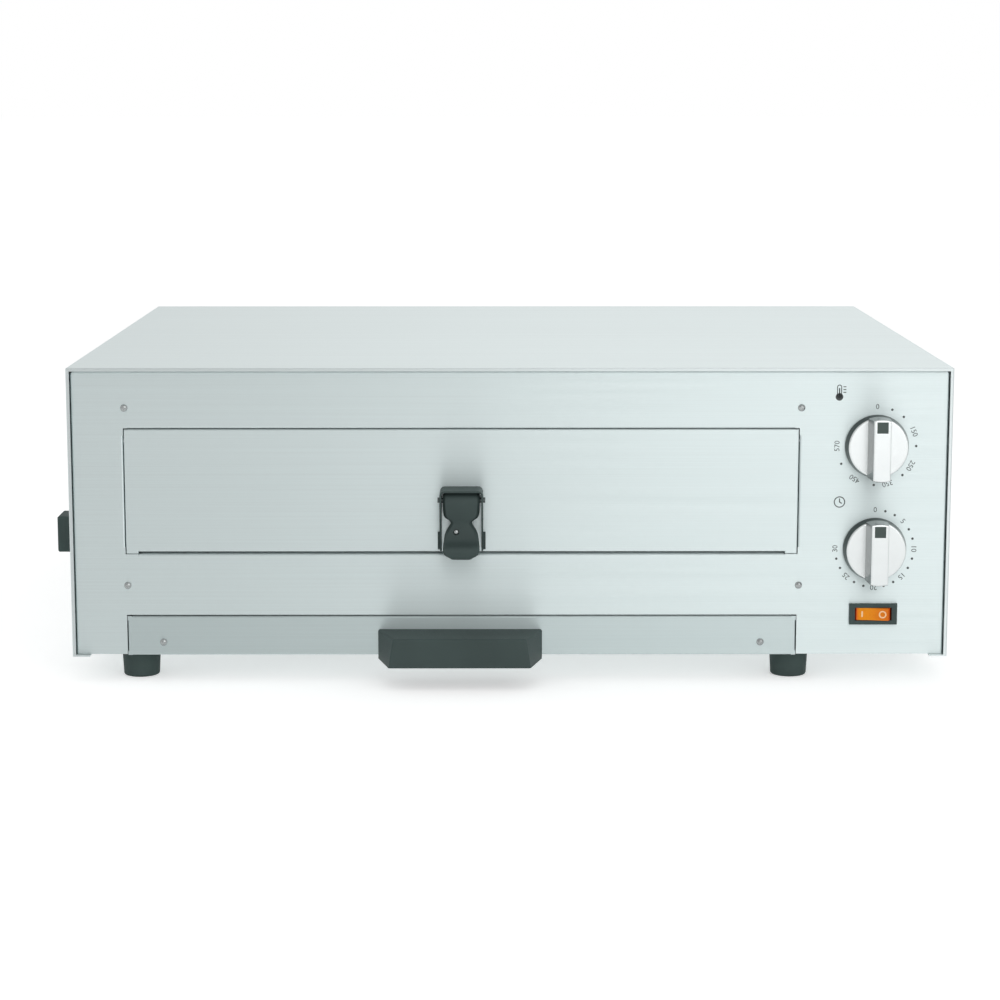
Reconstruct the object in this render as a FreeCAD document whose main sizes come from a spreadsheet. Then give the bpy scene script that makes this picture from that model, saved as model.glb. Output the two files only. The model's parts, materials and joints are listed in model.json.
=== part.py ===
import FreeCAD, Part
import math
import os
import Sketcher

# Driving sizes in millimetres: cell name, value, meaning
TABLE = (
    ("casing_w", 600, "casing width"),
    ("casing_d", 490, "casing depth"),
    ("casing_h", 199, "casing height without the feet"),
    ("skin", 1, "sheet steel thickness"),
    ("hem_t", 2.4, "thickness of the folded hem at the casing's front"),
    ("hem_d", 12, "depth of that hem"),
    ("hem_round", 1, "rounding of the hem and of the casing's long edges"),
    ("recess", 3, "front panel behind the hem's front edge"),
    ("panel_gap", 0.2, "front panel edge to hem"),
    ("turn", 12, "width of the turned flanges"),
    ("bend", 1.3, "outside radius of the sheet bends"),
    ("fit", 0.3, "clearance between pieces put together"),
    ("run", 0.05, "radial clearance of running fits"),
    ("rear_recess", 2, "rear panel inside the casing's rear edge"),
    ("base_turn", 22, "height of the base pan's turned edges"),
    ("side_margin", 37.6, "door and tray opening from the casing's left side"),
    ("column_w", 103.4, "control column, from that opening to the casing's right side"),
    ("brow_h", 41.4, "door opening from the casing's top"),
    ("opening_z", 70.8, "lower edge of the door opening"),
    ("gap_side", 0.35, "door and tray side gap"),
    ("gap_top", 0.9, "door top gap"),
    ("gap_low", 1.9, "door lower gap"),
    ("gap_tray", 1, "tray top gap"),
    ("lip_in", 10, "depth of the flanges round the door opening"),
    ("relief_top", 3, "upper flange short of the corner"),
    ("relief_low", 8.5, "lower flange short of the corner"),
    ("relief_side", 5, "side flanges short of the corner"),
    ("door_depth", 11, "door pan depth"),
    ("door_round", 0.8, "rounding of the door's front edge"),
    ("baffle_t", 0.5, "door baffle thickness"),
    ("baffle_in", 9, "door baffle behind the door's face"),
    ("hinge_in", 3.6, "hinge axis behind the door's face"),
    ("hinge_drop", 7.8, "hinge axis below the door's top edge"),
    ("rod_r", 2.2, "hinge rod radius"),
    ("cap_r", 4, "half height of a hinge clip"),
    ("cap_t", 1.5, "hinge clip thickness"),
    ("tray_top", 28.7, "upper edge of the tray opening"),
    ("tray_low", 0.6, "lower edge of the tray front"),
    ("tray_lip", 8, "depth of the tray front's flanges"),
    ("tray_relief", 3, "tray front's flanges short of the corner"),
    ("tray_inset", 4, "tray pan inside the tray front's ends"),
    ("tray_floor", 6, "underside of the tray pan"),
    ("tray_wall", 16, "tray pan height"),
    ("tray_gap", 18, "tray pan's end from the liner's back"),
    ("runner_w", 10, "tray runner width"),
    ("runner_in", 24, "tray runner from the pan's side"),
    ("pull_base", 112.5, "tray pull width at the tray front"),
    ("pull_face", 89.5, "tray pull width at the top of its face"),
    ("pull_foot", 96, "tray pull width at the bottom of its face"),
    ("pull_reach", 31, "tray pull reach"),
    ("pull_shift", 1.25, "tray pull left of the tray's middle"),
    ("pull_drop", 2, "tray pull's lower edge below the casing's underside"),
    ("pull_high", 18.6, "upper edge of the tray pull"),
    ("pull_slope", 0.6, "fall of the pull's top to its face"),
    ("pull_wall", 2, "tray pull wall"),
    ("pull_round", 1.6, "rounding of the tray pull's outer edges"),
    ("pull_screw_x", 35, "pull screw from the middle"),
    ("pull_screw_z", 13, "pull screw height"),
    ("liner_over", 6, "oven liner wider than the door opening, each side"),
    ("liner_rise", 8.5, "oven liner's inside top above the door opening"),
    ("liner_gap", 35, "oven liner's back from the rear panel"),
    ("ring_rise", 3.3, "liner's front flange above the tray opening"),
    ("sill_rise", 4.3, "door sill's lower edge above the tray opening"),
    ("sill_drop", 2.2, "door sill's upper edge below the door opening"),
    ("board_t", 18, "insulation board thickness"),
    ("shield_off", 15, "heat shield from the liner's right side"),
    ("element_r", 4, "heating element radius"),
    ("element_y", 80, "first pass of the heating elements"),
    ("element_pitch", 64, "pitch of the element passes"),
    ("element_end", 45, "least distance of the last pass from the liner's back"),
    ("element_edge", 14, "element bends from the liner's sides"),
    ("upper_drop", 16, "upper element below the liner's top"),
    ("lower_drop", 21, "lower element below the rack ledges"),
    ("bush_r", 6, "element bush radius"),
    ("bush_in", 4, "element bush inside the liner"),
    ("bush_out", 20, "element bush outside the liner"),
    ("element_out", 24, "element end outside the liner"),
    ("pin_r", 1.8, "element terminal radius"),
    ("pin_len", 14, "element terminal length"),
    ("clip_t", 3, "element clip thickness"),
    ("clip_h", 16, "element clip height"),
    ("clip_w", 22, "element clip width"),
    ("ledge_drop", 2.2, "top of the rack ledges below the door opening"),
    ("ledge_w", 12, "rack ledge width"),
    ("rack_rod", 2.5, "rack side rod radius"),
    ("rack_cross", 2.2, "rack cross rod radius"),
    ("rack_wire", 1.5, "rack wire radius"),
    ("rack_pitch", 25, "rack wire pitch"),
    ("rack_front", 20, "rack frame front"),
    ("rack_gap", 13, "rack frame's rear from the liner's back"),
    ("weld", 0.4, "depth that a rack wire is welded in"),
    ("knob_shift", 0.7, "controls right of the middle of their column"),
    ("heat_drop", 53.7, "temperature knob below the casing's top"),
    ("time_share", 0.39, "timer knob between switch and temperature knob, as a share of the way"),
    ("switch_z", 29.3, "switch height"),
    ("knob_r", 21.6, "knob radius"),
    ("knob_off", 1.5, "knob clear of the panel"),
    ("skirt_h", 8, "knob skirt height"),
    ("skirt_draft", 1.2, "draft of the knob skirt"),
    ("skirt_round", 1.2, "rounding of the knob skirt"),
    ("bar_h", 17, "knob bar height"),
    ("bar_foot", 14.8, "knob bar width at the skirt"),
    ("bar_face", 11.7, "knob bar width at its face"),
    ("bar_r", 21.2, "radius of the knob bar's ends round the shaft"),
    ("bar_round", 1, "rounding of the knob bar"),
    ("mark_w", 7.6, "knob marker size"),
    ("mark_t", 0.8, "knob marker thickness"),
    ("mark_in", 1.6, "knob marker from the bar's end"),
    ("shaft_r", 3, "control shaft radius"),
    ("shaft_in", 10, "control shaft inside the control"),
    ("shaft_out", 20, "control shaft in front of the panel"),
    ("neck_r", 5, "panel hole round a control shaft"),
    ("heat_box", 34, "thermostat width and height"),
    ("heat_deep", 30, "thermostat depth"),
    ("time_box", 40, "timer width and height"),
    ("time_deep", 36, "timer depth"),
    ("ear_x", 13, "control screw from the shaft"),
    ("bezel_w", 32.6, "switch bezel width"),
    ("bezel_h", 14.4, "switch bezel height"),
    ("bezel_t", 2.2, "switch bezel thickness"),
    ("case_w", 29.4, "switch case width"),
    ("case_h", 12.6, "switch case height"),
    ("case_d", 22, "switch case depth"),
    ("window_w", 25.2, "switch window width"),
    ("window_h", 9, "switch window height"),
    ("window_d", 14, "switch window depth"),
    ("rocker_in", 3, "rocker pivot behind the panel's face"),
    ("rocker_r", 12.3, "rocker end radius round the pivot"),
    ("rocker_top", 6, "rocker face from the pivot"),
    ("rocker_dip", 0.7, "hollow in the rocker's face"),
    ("rocker_tail", 5, "rocker tail behind the pivot"),
    ("rocker_tilt", 8, "rocker angle to either side"),
    ("stub_r", 1.2, "rocker pivot radius"),
    ("tab_w", 0.8, "switch terminal thickness"),
    ("tab_h", 6.3, "switch terminal height"),
    ("tab_len", 8, "switch terminal length"),
    ("tab_pitch", 9, "switch terminal pitch"),
    ("foot_r", 13.3, "rubber foot radius at its top"),
    ("foot_taper", 0.9, "rubber foot taper"),
    ("foot_h", 17.5, "rubber foot height below the casing"),
    ("foot_round", 1.6, "rounding of the rubber foot"),
    ("foot_well_r", 5.5, "screw well radius in a foot"),
    ("foot_floor", 6, "rubber under the foot screw's head"),
    ("foot_in_l", 6.4, "left feet inside the door opening's left side"),
    ("foot_in_r", 2.6, "right feet inside the door opening's right side"),
    ("foot_front", 22.5, "front feet behind the front panel"),
    ("foot_rear", 54, "rear feet from the rear panel"),
    ("bumper_front", 52, "front bumper behind the front panel"),
    ("bumper_rear", 52, "rear bumper from the rear panel"),
    ("bumper_z", 78, "bumper height"),
    ("bumper_w", 25, "side of the square bumper"),
    ("bumper_h", 15.3, "bumper reach beside the casing"),
    ("screw_r", 2, "screw shank radius"),
    ("head_r", 3.4, "screw head radius"),
    ("head_h", 1.6, "screw head height"),
    ("screw_len", 6, "screw shank length"),
    ("small_r", 1.5, "small screw shank radius"),
    ("small_head", 2.8, "small screw head radius"),
    ("small_head_h", 1.1, "small screw head height"),
    ("front_head", 2.5, "front panel and tray screw head radius"),
    ("front_head_h", 1.3, "front panel and tray screw head height"),
    ("slot_w", 0.8, "width of the cross in a screw head"),
    ("panel_screw_off", 1, "panel screws right of the door opening's sides"),
    ("panel_screw_up", 13.9, "panel screws above the door opening"),
    ("panel_screw_dn", 21.6, "panel screws below the door opening"),
    ("tray_screw_in", 24.7, "tray screws inside the tray opening's sides"),
    ("tray_screw_z", 9.6, "tray screw height"),
    ("side_screw_z", 14, "casing screw height"),
    ("side_screw_y", 60, "first casing screw behind the front panel"),
    ("side_screw_rear", 44, "last casing screw from the rear panel"),
    ("rear_screw_in", 40, "outer rear screws from the casing's sides"),
    ("bracket_w", 29.4, "grip bracket width"),
    ("bracket_t", 1.2, "grip bracket sheet"),
    ("bracket_low", 3.7, "grip bracket's lower end above the door opening's lower edge"),
    ("bracket_top", 47, "grip bracket's upper end above the door opening's lower edge"),
    ("bracket_out", 22, "grip bracket cheek depth"),
    ("bracket_round", 3.5, "rounding of the bracket's upper corners"),
    ("lug_w", 1.6, "bracket lugs beyond its cheeks"),
    ("lug_h", 12, "bracket lug height"),
    ("cheek_low", 8, "grip bracket cheek depth at its lower end"),
    ("grip_gap", 7.2, "grip clear of the bracket plate"),
    ("grip_back", 5.6, "grip behind its pin"),
    ("grip_side", 0.8, "grip clear of the bracket cheeks"),
    ("grip_pin_drop", 7.3, "grip pin below the bracket's upper end"),
    ("grip_pin_r", 1.8, "grip pin radius"),
    ("grip_pin_over", 1.4, "grip pin end beyond the cheek"),
    ("rivet_r", 1.6, "bracket rivet radius"),
    ("rivet_head", 3, "bracket rivet head radius"),
    ("rivet_head_h", 1.2, "bracket rivet head height"),
    ("rivet_low", 12.2, "lower bracket rivet above the door opening's lower edge"),
    ("rivet_high", 28.2, "upper bracket rivet above the door opening's lower edge"),
    ("grip_screw_x", 3.5, "grip screw left of the middle"),
    ("grip_screw_drop", 21.2, "grip screw below the pin"),
    ("grip_screw_r", 0.9, "grip screw shank radius"),
    ("grip_screw_len", 3, "grip screw shank length"),
    ("grip_head", 1.7, "grip screw head radius"),
    ("grip_head_h", 0.8, "grip screw head height"),
    ("grip_slot", 0.5, "width of the cross in the grip screw's head"),
    ("grip_seat", 4, "grip screw seat in front of the pin"),
    ("gland_r", 9, "cord gland radius"),
    ("gland_flange", 12.5, "cord gland flange radius"),
    ("gland_nose", 7, "cord gland nose radius"),
    ("gland_out", 12, "cord gland outside the rear panel"),
    ("gland_in", 9, "cord gland inside the rear panel"),
    ("gland_bore", 4, "cord gland bore radius"),
    ("gland_z", 42, "cord gland height"),
    ("block_w", 46, "terminal block width"),
    ("block_d", 22, "terminal block depth"),
    ("block_h", 20, "terminal block height"),
    ("block_gap", 54, "terminal block's front from the rear panel"),
    ("wire_r", 1.2, "wire radius"),
    ("bulb_r", 3, "thermostat bulb radius"),
    ("bulb_len", 90, "thermostat bulb length"),
    ("bulb_in", 12, "thermostat bulb from the liner's right side"),
    ("bulb_drop", 8, "thermostat bulb below the liner's top"),
    ("capillary_r", 0.9, "capillary radius"),
    ("capillary_in", 139, "capillary's way out from the liner's back"),
    ("vent_w", 3.5, "vent slot width"),
    ("vent_h", 42, "vent slot length"),
    ("vent_pitch", 12, "vent slot pitch"),
    ("vent_drop", 39, "vent slots below the casing's top"),
)

doc = FreeCAD.newDocument("pizza_oven")
sheet = doc.addObject("Spreadsheet::Sheet", "dims")
for row, (name, number, meaning) in enumerate(TABLE, 1):
    sheet.set(f"A{row}", meaning)
    sheet.set(f"B{row}", str(number))
    sheet.setAlias(f"B{row}", name)
doc.recompute()

Vector = FreeCAD.Vector
nodes = []


class Size:
    """A number together with the sheet formula that gives it."""

    def __init__(self, number, text):
        self.number = number
        self.text = text

    def __add__(self, other):
        other = size(other)
        return Size(self.number + other.number, f"({self.text} + {other.text})")

    def __sub__(self, other):
        other = size(other)
        return Size(self.number - other.number, f"({self.text} - {other.text})")

    def __mul__(self, other):
        other = size(other)
        return Size(self.number * other.number, f"({self.text} * {other.text})")

    def __truediv__(self, other):
        other = size(other)
        return Size(self.number / other.number, f"({self.text} / {other.text})")

    def __neg__(self):
        return Size(-self.number, f"(0 - {self.text})")

    __radd__ = __add__
    __rmul__ = __mul__

    def __rsub__(self, other):
        return size(other) - self

    def root(self):
        return Size(math.sqrt(self.number), f"sqrt({self.text})")


def size(item):
    if isinstance(item, Size):
        return item
    return Size(float(item), f"{float(item):.6f}")


class Sizes:
    """Every cell of the sheet as a Size."""


d = Sizes()
for name, number, meaning in TABLE:
    setattr(d, name, Size(float(getattr(sheet, name)), f"dims.{name}"))


def bind(item, prop, amount):
    item.setExpression(prop, size(amount).text)


# Oven frame: x from the casing's middle, y from the front panel's face, z from the casing's underside
left = -d.casing_w / 2
right = d.casing_w / 2
front = -d.recess
back = d.casing_d - d.recess
rear_face = back - d.rear_recess
rear_in = rear_face - d.skin
frame_x = d.bumper_h / 2
frame_y = (d.pull_reach - rear_face - d.gland_out) / 2
frame_z = d.foot_h


def place(item, label, x=0, y=0, z=0):
    """Give a finished sub-part its name and its place in the shared frame."""
    item.Label = label
    bind(item, "Placement.Base.x", frame_x + x)
    bind(item, "Placement.Base.y", frame_y + y)
    bind(item, "Placement.Base.z", frame_z + z)
    nodes.append(item)
    return item


def new_body(name):
    return doc.addObject("PartDesign::Body", name)


PLANES = {"x": "YZ_Plane", "y": "XZ_Plane", "z": "XY_Plane"}


def draw_arc(start, end, centre, way):
    radius = (start - centre).Length
    first = math.atan2(start.y - centre.y, start.x - centre.x)
    last = math.atan2(end.y - centre.y, end.x - centre.x)
    circle = Part.Circle(centre, Vector(0, 0, 1), radius)
    if way == "ccw":
        return Part.ArcOfCircle(circle, first, last), 1, 2
    return Part.ArcOfCircle(circle, last, first), 2, 1


def draw(sketch, outline, closed=True):
    """Add an outline of points to a sketch, each point bound to the sheet.

    A point is (x, y), or (x, y, (centre x, centre y, way)) where an arc starts.
    """
    points = [Vector(size(p[0]).number, size(p[1]).number, 0) for p in outline]
    count = len(outline)
    edges = []
    for i in range(count if closed else count - 1):
        start = points[i]
        end = points[(i + 1) % count]
        if len(outline[i]) > 2:
            centre_x, centre_y, way = outline[i][2]
            centre = Vector(size(centre_x).number, size(centre_y).number, 0)
            shape, first, last = draw_arc(start, end, centre, way)
        else:
            shape, first, last = Part.LineSegment(start, end), 1, 2
        edges.append((sketch.addGeometry(shape), first, last))
    for i in range(len(edges) if closed else len(edges) - 1):
        here = edges[i]
        follow = edges[(i + 1) % len(edges)]
        sketch.addConstraint(Sketcher.Constraint("Coincident", here[0], here[2], follow[0], follow[1]))

    def pin(kind, edge, end, amount):
        amount = size(amount)
        index = sketch.addConstraint(Sketcher.Constraint(kind, -1, 1, edge, end, amount.number))
        bind(sketch, f"Constraints[{index}]", amount)

    for i, point in enumerate(outline):
        if i < len(edges):
            edge, end = edges[i][0], edges[i][1]
        else:
            edge, end = edges[-1][0], edges[-1][2]
        pin("DistanceX", edge, end, point[0])
        pin("DistanceY", edge, end, point[1])
        if len(point) > 2:
            chord = points[(i + 1) % count] - points[i]
            if abs(chord.x) > abs(chord.y):
                pin("DistanceY", edge, 3, point[2][1])
            else:
                pin("DistanceX", edge, 3, point[2][0])


def draw_circle(sketch, x, y, radius):
    x, y, radius = size(x), size(y), size(radius)
    circle = Part.Circle(Vector(x.number, y.number, 0), Vector(0, 0, 1), radius.number)
    edge = sketch.addGeometry(circle)
    for kind, amount in (("DistanceX", x), ("DistanceY", y)):
        index = sketch.addConstraint(Sketcher.Constraint(kind, -1, 1, edge, 3, amount.number))
        bind(sketch, f"Constraints[{index}]", amount)
    index = sketch.addConstraint(Sketcher.Constraint("Radius", edge, radius.number))
    bind(sketch, f"Constraints[{index}]", radius)


def new_sketch(body, name, axis, level, outlines=(), circles=(), closed=True):
    """Sketch across an axis, at a level along it."""
    sketch = body.newObject("Sketcher::SketchObject", name)
    plane = [item for item in body.Origin.OriginFeatures if item.Role == PLANES[axis]][0]
    sketch.AttachmentSupport = [(plane, "")]
    sketch.MapMode = "FlatFace"
    bind(sketch, "AttachmentOffset.Base.z", -size(level) if axis == "y" else level)
    for outline in outlines:
        draw(sketch, outline, closed)
    for x, y, radius in circles:
        draw_circle(sketch, x, y, radius)
    return sketch


def slab(body, name, axis, start, end, outlines=(), circles=(), draft=None):
    """Pad outlines from start to end along an axis."""
    level = end if axis == "y" else start
    sketch = new_sketch(body, name + "_sketch", axis, level, outlines, circles)
    pad = body.newObject("PartDesign::Pad", name)
    pad.Profile = sketch
    bind(pad, "Length", size(end) - start)
    if draft is not None:
        bind(pad, "TaperAngle", draft)
    body.Tip = pad
    return pad


def hollow(body, name, axis, start, end, outlines=(), circles=()):
    """Pocket outlines from start to end along an axis."""
    level = start if axis == "y" else end
    sketch = new_sketch(body, name + "_sketch", axis, level, outlines, circles)
    pocket = body.newObject("PartDesign::Pocket", name)
    pocket.Profile = sketch
    bind(pocket, "Length", size(end) - start)
    body.Tip = pocket
    return pocket


def repeat(body, name, feature, axis, length, count):
    """Repeat a feature along one axis of its sketch."""
    pattern = body.newObject("PartDesign::LinearPattern", name)
    pattern.Originals = [feature]
    pattern.Direction = (feature.Profile[0], [axis])
    bind(pattern, "Length", length)
    pattern.Occurrences = count
    body.Tip = pattern
    return pattern


def spin(body, name, axis, outline, about):
    """Revolve an outline about an axis of its own sketch."""
    sketch = new_sketch(body, name + "_sketch", axis, 0, [outline])
    turn = body.newObject("PartDesign::Revolution", name)
    turn.Profile = sketch
    turn.ReferenceAxis = (sketch, [about])
    turn.Angle = 360
    body.Tip = turn
    return turn


def soften(body, name, radius, *spans):
    """Fillet the edges that lie inside any of the given spans of x, y and z."""
    doc.recompute()
    base = body.Tip
    names = []
    for index, edge in enumerate(base.Shape.Edges, 1):
        box = edge.BoundBox
        for span in spans:
            low = Vector(*[size(pair[0]).number - 0.01 for pair in span])
            high = Vector(*[size(pair[1]).number + 0.01 for pair in span])
            inside_low = box.XMin >= low.x and box.YMin >= low.y and box.ZMin >= low.z
            inside_high = box.XMax <= high.x and box.YMax <= high.y and box.ZMax <= high.z
            if inside_low and inside_high:
                names.append(f"Edge{index}")
                break
    fillet = body.newObject("PartDesign::Fillet", name)
    fillet.Base = (base, names)
    bind(fillet, "Radius", radius)
    body.Tip = fillet
    return fillet


def rect(x0, x1, y0, y1):
    return [(x0, y0), (x1, y0), (x1, y1), (x0, y1)]


def block(name, x, y, z):
    """Box between pairs of x, y and z."""
    item = doc.addObject("Part::Box", name)
    for prop, axis, pair in (("Length", "x", x), ("Width", "y", y), ("Height", "z", z)):
        bind(item, prop, size(pair[1]) - pair[0])
        bind(item, f"Placement.Base.{axis}", pair[0])
    return item


TURNS = {
    "x": FreeCAD.Rotation(Vector(0, 1, 0), 90),
    "y": FreeCAD.Rotation(Vector(1, 0, 0), -90),
    "z": FreeCAD.Rotation(),
}


def bar(name, axis, radius, across, start, end):
    """Round bar along an axis; across gives its other two coordinates."""
    item = doc.addObject("Part::Cylinder", name)
    item.Placement = FreeCAD.Placement(Vector(), TURNS[axis])
    bind(item, "Radius", radius)
    bind(item, "Height", size(end) - start)
    spot = list(across)
    spot.insert("xyz".index(axis), start)
    for letter, amount in zip("xyz", spot):
        bind(item, f"Placement.Base.{letter}", amount)
    return item


def dome(name, radius, height):
    """Half ellipsoid on the plane y = 0 that stands out to the front."""
    item = doc.addObject("Part::Ellipsoid", name)
    item.Placement = FreeCAD.Placement(Vector(), FreeCAD.Rotation(Vector(1, 0, 0), 90))
    bind(item, "Radius1", height)
    bind(item, "Radius2", radius)
    bind(item, "Radius3", radius)
    item.Angle1 = 0
    item.Angle2 = 90
    return item


def fuse(name, items):
    item = doc.addObject("Part::MultiFuse", name)
    item.Shapes = items
    return item


def cut(name, base, tools):
    item = doc.addObject("Part::Cut", name)
    item.Base = base
    item.Tool = tools[0] if len(tools) == 1 else fuse(name + "_tools", tools)
    return item


def group(name, items):
    item = doc.addObject("Part::Compound", name)
    item.Links = items
    return item


FACING = {
    "front": FreeCAD.Rotation(),
    "rear": FreeCAD.Rotation(Vector(0, 0, 1), 180),
    "left": FreeCAD.Rotation(Vector(0, 0, 1), -90),
    "right": FreeCAD.Rotation(Vector(0, 0, 1), 90),
    "below": FreeCAD.Rotation(Vector(1, 0, 0), 90),
}


def screw(name, facing, spot, head_r, head_h, shank_r, length, domed=False, slot_w=d.slot_w):
    """Cross-head screw; spot is the point under its head."""
    if domed:
        head = dome(name + "_head", head_r, head_h)
    else:
        head = bar(name + "_head", "y", head_r, (0, 0), -size(head_h), 0)
    shank = bar(name + "_shank", "y", shank_r, (0, 0), 0, length)
    half = slot_w / 2
    arm = size(head_r) * 0.6
    depth = (-size(head_h), -size(head_h) / 2)
    flat = block(name + "_flat", (-arm, arm), depth, (-half, half))
    tall = block(name + "_tall", (-half, half), depth, (-arm, arm))
    item = cut(name, fuse(name + "_solid", [head, shank]), [flat, tall])
    item.Placement = FreeCAD.Placement(Vector(), FACING[facing])
    for letter, amount in zip("xyz", spot):
        bind(item, f"Placement.Base.{letter}", amount)
    return item


def screws(label, facing, spots, head_r, head_h, shank_r, length, domed=False):
    items = []
    for index, spot in enumerate(spots, 1):
        items.append(screw(f"{label}_{index}", facing, spot, head_r, head_h, shank_r, length, domed))
    return place(group(label, items), label)


def flange(edge, side, depth):
    """Bent flange across its length as (across, y) points; side points from the flange into the sheet."""
    near = edge + side * d.bend
    sheet_side = edge + side * d.skin
    way, other = ("ccw", "cw") if side < 0 else ("cw", "ccw")
    return [
        (near, 0),
        (near, d.skin, (near, d.bend, way)),
        (sheet_side, d.bend),
        (sheet_side, depth),
        (edge, depth),
        (edge, d.bend, (near, d.bend, other)),
    ]


def flange_x(edge, side, depth):
    """The same profile for a flange that runs along x, as (y, z) points."""
    swapped = []
    for point in flange(edge, side, depth):
        if len(point) > 2:
            across, y, way = point[2]
            flipped = "cw" if way == "ccw" else "ccw"
            swapped.append((point[1], point[0], (y, across, flipped)))
        else:
            swapped.append((point[1], point[0]))
    return swapped


def notched(x0, x1, z0, z1, step, low, top, side):
    """Rectangle whose edges step out by step between the corners."""
    return [
        (x0, z0), (x0 + low, z0), (x0 + low, z0 - step), (x1 - low, z0 - step), (x1 - low, z0),
        (x1, z0), (x1, z0 + side), (x1 + step, z0 + side), (x1 + step, z1 - side), (x1, z1 - side),
        (x1, z1), (x1 - top, z1), (x1 - top, z1 + step), (x0 + top, z1 + step), (x0 + top, z1),
        (x0, z1), (x0, z1 - side), (x0 - step, z1 - side), (x0 - step, z0 + side), (x0, z0 + side),
    ]


# Places shared by several sub-parts
hole_r = d.screw_r + d.fit
small_hole_r = d.small_r + d.fit
opening_l = left + d.side_margin
opening_r = right - d.column_w
opening_t = d.casing_h - d.brow_h
door_mid = (opening_l + opening_r) / 2
door_l = opening_l + d.gap_side
door_r = opening_r - d.gap_side
door_t = opening_t - d.gap_top
door_b = d.opening_z + d.gap_low
hinge_z = door_t - d.hinge_drop
liner_l = opening_l - d.liner_over
liner_r = opening_r + d.liner_over
liner_top = opening_t + d.liner_rise
liner_end = rear_in - d.liner_gap
base_top = d.skin * 2
base_l = left + d.skin + d.fit
base_r = right - d.skin - d.fit
panel_l = left + d.hem_t + d.panel_gap
panel_r = right - d.hem_t - d.panel_gap
panel_t = d.casing_h - d.hem_t - d.panel_gap
panel_b = d.skin + d.fit
leg_l = opening_l - d.panel_gap
leg_r = opening_r + d.panel_gap
panel_screw_z = (opening_t + d.panel_screw_up, d.opening_z - d.panel_screw_dn)
panel_screw_x = (opening_l + d.panel_screw_off, opening_r + d.panel_screw_off)
tray_screw_x = (opening_l + d.tray_screw_in, opening_r - d.tray_screw_in)
pull_mid = door_mid - d.pull_shift
pull_screw_x = (pull_mid - d.pull_screw_x, pull_mid + d.pull_screw_x)
side_screw_end = rear_in - d.side_screw_rear
side_screw_y = (d.side_screw_y, (d.side_screw_y + side_screw_end) / 2, side_screw_end)
rear_screw_x = (left + d.rear_screw_in, (left + right) / 2, right - d.rear_screw_in)
foot_x = (opening_l + d.foot_in_l, opening_r - d.foot_in_r)
foot_y = (d.foot_front, rear_in - d.foot_rear)
bumper_y = (d.bumper_front, rear_in - d.bumper_rear)
knob_x = (opening_r + right) / 2 + d.knob_shift
heat_z = d.casing_h - d.heat_drop
time_z = d.switch_z + (heat_z - d.switch_z) * d.time_share
ear_x = (knob_x - d.ear_x, knob_x + d.ear_x)
block_y = rear_in - d.block_gap
shield_l = liner_r + d.shield_off
ring_low = d.tray_top + d.ring_rise
sill_low = d.tray_top + d.sill_rise
sill_top = d.opening_z - d.sill_drop
ledge_z = d.opening_z - d.ledge_drop
upper_z = liner_top - d.upper_drop
lower_z = ledge_z - d.lower_drop
element_zs = (upper_z, lower_z)
# An even number of passes, so that both ends of an element come out on the right
pass_pairs = int(((liner_end - d.element_end - d.element_y) / d.element_pitch + 1).number / 2)
ELEMENT_PASSES = pass_pairs * 2
element_ys = (d.element_y, d.element_y + d.element_pitch * (ELEMENT_PASSES - 1))
capillary_y = liner_end - d.capillary_in
bulb_z = liner_top - d.bulb_drop
vent_z = d.casing_h - d.vent_drop - d.vent_h
bracket_low = d.opening_z + d.bracket_low
bracket_top = d.opening_z + d.bracket_top
rivet_zs = (d.opening_z + d.rivet_low, d.opening_z + d.rivet_high)
grip_y = -d.bracket_t - d.grip_gap - d.grip_back
grip_pin_z = bracket_top - d.grip_pin_drop


def make_outer_wrap():
    wrap = new_body("outer_wrap_body")
    inner_l = left + d.skin
    inner_r = right - d.skin
    inner_t = d.casing_h - d.skin
    fold = [
        (left, 0), (left + d.turn, 0), (left + d.turn, d.skin), (inner_l, d.skin), (inner_l, inner_t),
        (inner_r, inner_t), (inner_r, d.skin), (right - d.turn, d.skin), (right - d.turn, 0),
        (right, 0), (right, d.casing_h), (left, d.casing_h),
    ]
    slab(wrap, "wrap_fold", "y", front, back, [fold])
    hem_l = left + d.hem_t
    hem_r = right - d.hem_t
    hem_top = d.casing_h - d.hem_t
    hem = [
        (inner_l, d.skin), (hem_l, d.skin), (hem_l, hem_top), (hem_r, hem_top),
        (hem_r, d.skin), (inner_r, d.skin), (inner_r, inner_t), (inner_l, inner_t),
    ]
    slab(wrap, "wrap_hem", "y", front, front + d.hem_d, [hem])
    side_holes = [(y, d.side_screw_z, hole_r) for y in side_screw_y]
    rear_hole = (rear_in - d.turn / 2, d.casing_h / 2, hole_r)
    foot_holes = [(y, d.bumper_z, hole_r) for y in bumper_y]
    hollow(wrap, "wrap_left_holes", "x", left, inner_l, (), side_holes + [rear_hole] + foot_holes)
    hollow(wrap, "wrap_right_holes", "x", inner_r, right, (), side_holes + [rear_hole])
    slot = rect(d.bumper_front, d.bumper_front + d.vent_w, vent_z, vent_z + d.vent_h)
    vent = hollow(wrap, "wrap_vent", "x", inner_r, right, [slot])
    repeat(wrap, "wrap_vents", vent, "H_Axis", d.vent_pitch * 11, 12)
    whole_y = (front, back)
    corner = (d.casing_h, d.casing_h)
    soften(wrap, "wrap_edges", d.hem_round,
           ((left, left), whole_y, corner),
           ((right, right), whole_y, corner))
    soften(wrap, "hem_outer", d.hem_round,
           ((left, left), (front, front), (0, d.casing_h)),
           ((left, right), (front, front), (d.casing_h - d.hem_round, d.casing_h)),
           ((right, right), (front, front), (0, d.casing_h)))
    return place(wrap, "outer_wrap")


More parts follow.
